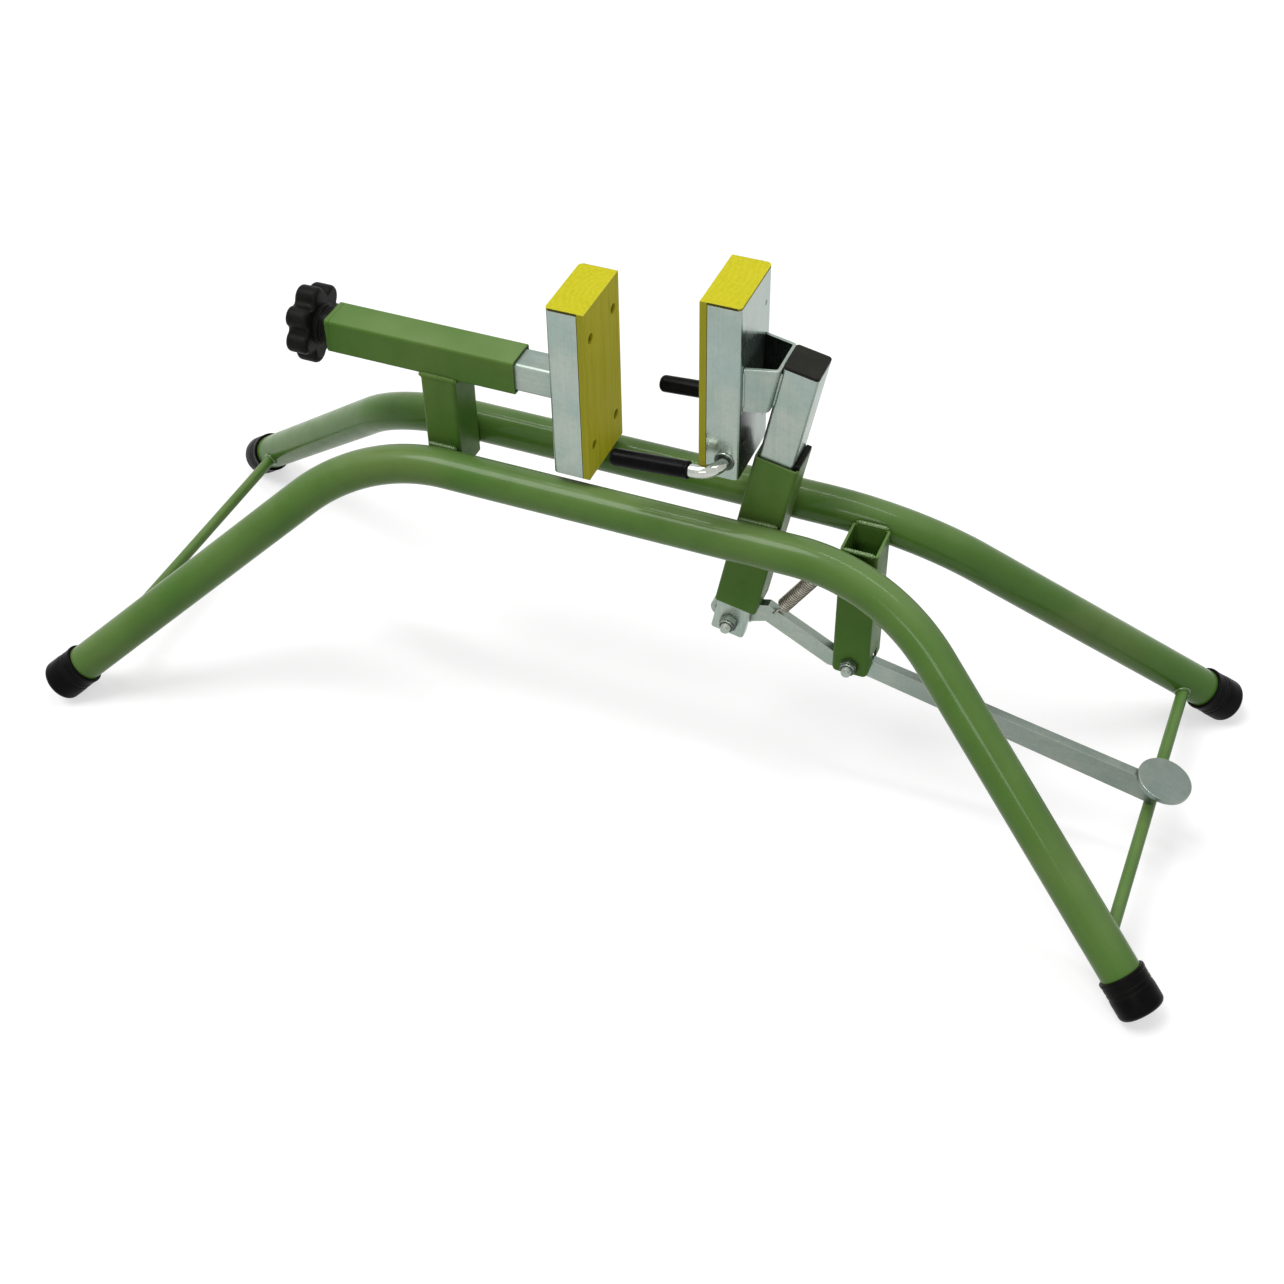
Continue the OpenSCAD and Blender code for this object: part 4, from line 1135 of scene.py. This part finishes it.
def rest_rod():
    """The chrome rod with its two bent arms, as one smooth bar."""
    half = ARM_SPACING / 2 - ROD_BEND_R
    tip = ARM_REACH - (ROD_SLEEVE_D - ROD_D)
    side = [(0.0, half * i / 8) for i in range(8)]
    side += arc((-ROD_BEND_R, half), ROD_BEND_R, 0, 90, 24)
    side += [(-ROD_BEND_R - (tip - ROD_BEND_R) * i / 6, ARM_SPACING / 2) for i in range(1, 7)]
    path = [Vector((x, -y, 0)) for x, y in side[:0:-1]] + [Vector((x, y, 0)) for x, y in side]
    shape = sweep(path, ROD_D / 2, 56)
    add_piece("rest_rod_smooth", shape, CHROME, "carriage", ["rest_rod"], place=rod_place())


def rod_collars():
    """Small pressed collars round the rod where it leaves the jaw's flanges."""
    bore = ROD_D / 2 + 0.1
    edge_at = 6.9
    profile = [(bore, 0.0), (bore, 1.3), (bore + 0.2, 1.5)] + arc((edge_at, 0.5), 1.0, 90, 0, 5)
    profile.append((edge_at + 1.0, 0.0))
    for side_y, face in FACES:
        shape = lathe(profile)
        place = rod_place() @ shift(0, side_y * JAW_W / 2, 0) @ spin(math.pi / 2 * -side_y, "X")
        stands_for = ["rod_washers"] if side_y < 0 else []
        add_piece(f"rod_collar_{face}", shape, ZINC_NUT, "carriage", stands_for, place=place)


def rod_sleeves():
    """Soft sleeves on the rod's arms: a rounded tip, and a rolled lip at the open end."""
    r = ROD_SLEEVE_D / 2
    bore = ROD_D / 2 + BORE_PLAY
    wall = r - 0.25
    tip_r = 4.0
    profile = [(bore, 4.0), (bore, 0.6)] + arc((bore + 0.6, 0.6), 0.6, 180, 270, 3)
    profile += arc((r - 0.8, 0.8), 0.8, 270, 360, 5)
    profile += arc((r - 0.8, 2.4), 0.8, 0, 60, 4)
    profile += [(wall, 3.9), (wall, 20), (wall + 0.05, 38), (wall, ROD_SLEEVE_LEN - tip_r - 0.2)]
    profile += arc((wall - tip_r, ROD_SLEEVE_LEN - tip_r), tip_r, 0, 90, 10)
    profile += [(0, ROD_SLEEVE_LEN)]
    for side_y, face in FACES:
        node = face + "_rod_sleeve"
        shape = lathe(profile, 56)
        start = shift(ROD_SLEEVE_LEN - ARM_REACH, side_y * ARM_SPACING / 2, 0)
        place = rod_place() @ start @ spin(-math.pi / 2, "Y")
        add_piece(node + "_dipped", shape, VINYL, "carriage", [node], place=place, sharp=50)


# Lever and spring


def pedal_weld():
    """Beads under the pedal disc, along both sides of the lever's upper edge."""
    along = Vector((math.cos(FALL_RAD), 0, -math.sin(FALL_RAD)))
    top = ARM_END + ARM_UP * (ARM_END_H / 2 - 0.6)
    for side_y, face in FACES:
        ends = [top + along * s + Vector((0, side_y * (LEVER_T / 2 + 0.3), 0)) for s in (-16, -0.5)]
        weld_bead(f"pedal_weld_{face}", ends, 1.2, ZINC_LEVER, "lever")


def hook_end(curl_r):
    """The wire's run from its tip through one hook to the first curl, which starts at HOOK_REACH."""
    turn_in = 1.5 * WIRE_D
    end = [(-WIRE_D, LEVER_T / 2 + WIRE_D, 0), (-WIRE_D, 0, 0)]
    end += [(-WIRE_D, y, z) for y, z in arc((turn_in - curl_r, turn_in), turn_in, -90, -180, 8)]
    end.append((-WIRE_D, -curl_r, HOOK_REACH - 2 * WIRE_D))
    into_curl = arc((0, HOOK_REACH - WIRE_D), WIRE_D, 180, 90, 6)[:-1]
    return end + [(x, -curl_r, z) for x, z in into_curl]


def spring_path():
    """The wire's middle line from the lever's hole, through the curls, to the eye on the post."""
    curl_r = (SPRING_OD - WIRE_D) / 2
    line = EYE - HOOK
    length = math.sqrt(line.length**2 - 4 * WIRE_D**2)
    rise = (length - 2 * HOOK_REACH) / CURL_COUNT
    end = hook_end(curl_r)
    steps = 20
    curls = []
    for i in range(CURL_COUNT * steps + 1):
        a = 2 * math.pi * i / steps
        curls.append((curl_r * math.sin(a), -curl_r * math.cos(a), HOOK_REACH + rise * i / steps))
    far = [(-x, y, length - z) for x, y, z in end[::-1]]
    lean = math.atan2(line.x, line.z) - math.atan2(2 * WIRE_D, length)
    place = Matrix.Translation((HOOK + EYE) / 2) @ spin(lean, "Y") @ shift(0, 0, -length / 2)
    return [place @ Vector(point) for point in end + curls + far]


def return_spring():
    """The tension spring, one unbroken wire hooked to the post and to the lever."""
    shape = sweep(spring_path(), WIRE_D / 2, 14)
    piece = add_piece("return_spring_wound", shape, SPRING, None, ["return_spring"], sharp=60)
    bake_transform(piece)


# Carried-over solids


def carried():
    """The solids that are kept, with the rounding of their edges and their names."""
    for material, edge, *nodes in (
        (PAINT, 0.0, "left_brace", "right_brace"),
        (PAINT_FLAT, 0.4, "left_post", "guide_tube", "inclined_sleeve", "pivot_post", "spring_eye"),
        (PAINT_FLAT, 0.6, "guide_end_plate"),
        (PLASTIC, 0.3, "wear_strip"),
        (PLUG_PLASTIC, 0.7, "tube_plug"),
        (ZINC_ALONG, 0.15, "slide_tube"),
        (ZINC_ALONG, 0.3, "spindle_nut", "spindle"),
        (ZINC_UPRIGHT, 0.5, "left_jaw_channel"),
        (ZINC_JAW, 0.5, "right_jaw_channel"),
        (PAD_LEFT, 0.9, "left_jaw_pad"),
        (PAD_RIGHT, 0.9, "right_jaw_pad"),
        (ZINC_INCLINED, 0.3, "carriage_tube"),
        (ZINC_LEVER, 0.6, "pedal_lever"),
        (ZINC_LEVER, 0.7, "pedal_disc"),
    ):
        for node in nodes:
            carry(node, material, edge)


# Studio


def seen_only(tree):
    """1 for rays from the camera, for reflections and for clear materials, and 0 for lighting."""
    rays = add_node(tree, "ShaderNodeLightPath").outputs
    seen = calculate(tree, "MAXIMUM", rays["Is Camera Ray"], rays["Is Glossy Ray"])
    return calculate(tree, "MAXIMUM", seen, rays["Is Transmission Ray"])


def floor():
    """A plain pale floor that keeps the object's shadow and otherwise reads as white."""
    shape = bmesh.new()
    bmesh.ops.create_grid(shape, x_segments=8, y_segments=8, size=30)
    material = bpy.data.materials.new("studio_floor")
    tree = empty_tree(material)
    glow_strength = calculate(tree, "MULTIPLY", seen_only(tree), FLOOR_GLOW)
    paper = add_node(tree, "ShaderNodeBsdfDiffuse", Color=(0.5, 0.5, 0.5, 1))
    glow = add_node(tree, "ShaderNodeEmission", Strength=glow_strength)
    both = add_node(tree, "ShaderNodeAddShader")
    feed(tree, both.inputs[0], paper.outputs["BSDF"])
    feed(tree, both.inputs[1], glow.outputs["Emission"])
    add_node(tree, "ShaderNodeOutputMaterial", Surface=both.outputs["Shader"])
    piece = new_object("studio_floor", mesh_of("studio_floor", shape))
    piece.data.materials.append(material)


def world():
    """A white world, dimmer where it gives light than where it is seen."""
    made = bpy.data.worlds.new("studio")
    bpy.context.scene.world = made
    tree = empty_tree(made)
    strength = add_node(tree, "ShaderNodeMapRange", Value=seen_only(tree), To_Min=WORLD_LIGHT, To_Max=1.0)
    white = (1, 1, 1, 1)
    background = add_node(tree, "ShaderNodeBackground", Color=white, Strength=strength.outputs["Result"])
    add_node(tree, "ShaderNodeOutputWorld", Surface=background.outputs["Background"])


def lamp(name, kind, energy, place, aim, size):
    """A sun whose size is its angle in degrees, or a rectangular lamp."""
    data = bpy.data.lights.new(name, kind)
    data.energy = energy
    if kind == "SUN":
        data.angle = math.radians(size)
    else:
        data.shape = "RECTANGLE"
        data.size, data.size_y = size
    piece = new_object(name, data)
    piece.location = place
    piece.rotation_euler = (Vector(aim) - Vector(place)).to_track_quat("-Z", "Y").to_euler()


def lights():
    lamp("key_sun", "SUN", 1.6, (-0.9, -0.6, 2.4), (0, 0, 0), 28)
    lamp("top_softbox", "AREA", 9.5, (0.05, 0.3, 1.9), (0, 0, 0.2), (1.8, 0.12))
    lamp("front_softbox", "AREA", 6.5, (0.5, -1.9, 1.35), (0.1, 0, 0.2), (0.9, 0.3))


def camera():
    """The camera that was fitted to the photograph."""
    data = bpy.data.cameras.new("camera")
    data.sensor_width = 36
    data.lens = FOCAL_PIXELS / FRAME_PIXELS * data.sensor_width
    data.clip_start = 0.05
    data.clip_end = 60
    piece = new_object("camera", data)
    right = Vector((0.92484016, 0.38003891, -0.01552745))
    down = Vector((0.24913673, -0.63612102, -0.73026087))
    ahead = Vector((-0.28740488, 0.67150613, -0.68299191))
    made = Matrix((right, -down, -ahead)).transposed().to_4x4()
    made.translation = Vector((0.4792, -1.1060, 1.1981))
    piece.matrix_world = made
    bpy.context.scene.camera = piece


bpy.context.scene.view_settings.view_transform = "Standard"
camera()
world()
lights()
floor()
pipes()
foot_caps()
brace_welds()
groove_welds()
guide_welds()
eye_welds()
for fixing in (("pivot", PIVOT, PIPE_GAP / 2, "frame"), ("link", LINK, CARRIAGE_Y / 2, "carriage")):
    cross_bolt(*fixing)
    lock_nut(*fixing)
pad_screws("left_pad_screws", LEFT_WEB_AT, 1, LEFT_JAW_Z, "left_jaw")
pad_screws("right_pad_screws", RIGHT_WEB_AT, -1, RIGHT_JAW_Z, "carriage")
star_knob()
jaw_bracket()
bracket_welds()
rest_rod()
rod_collars()
rod_sleeves()
pedal_weld()
return_spring()
carried()
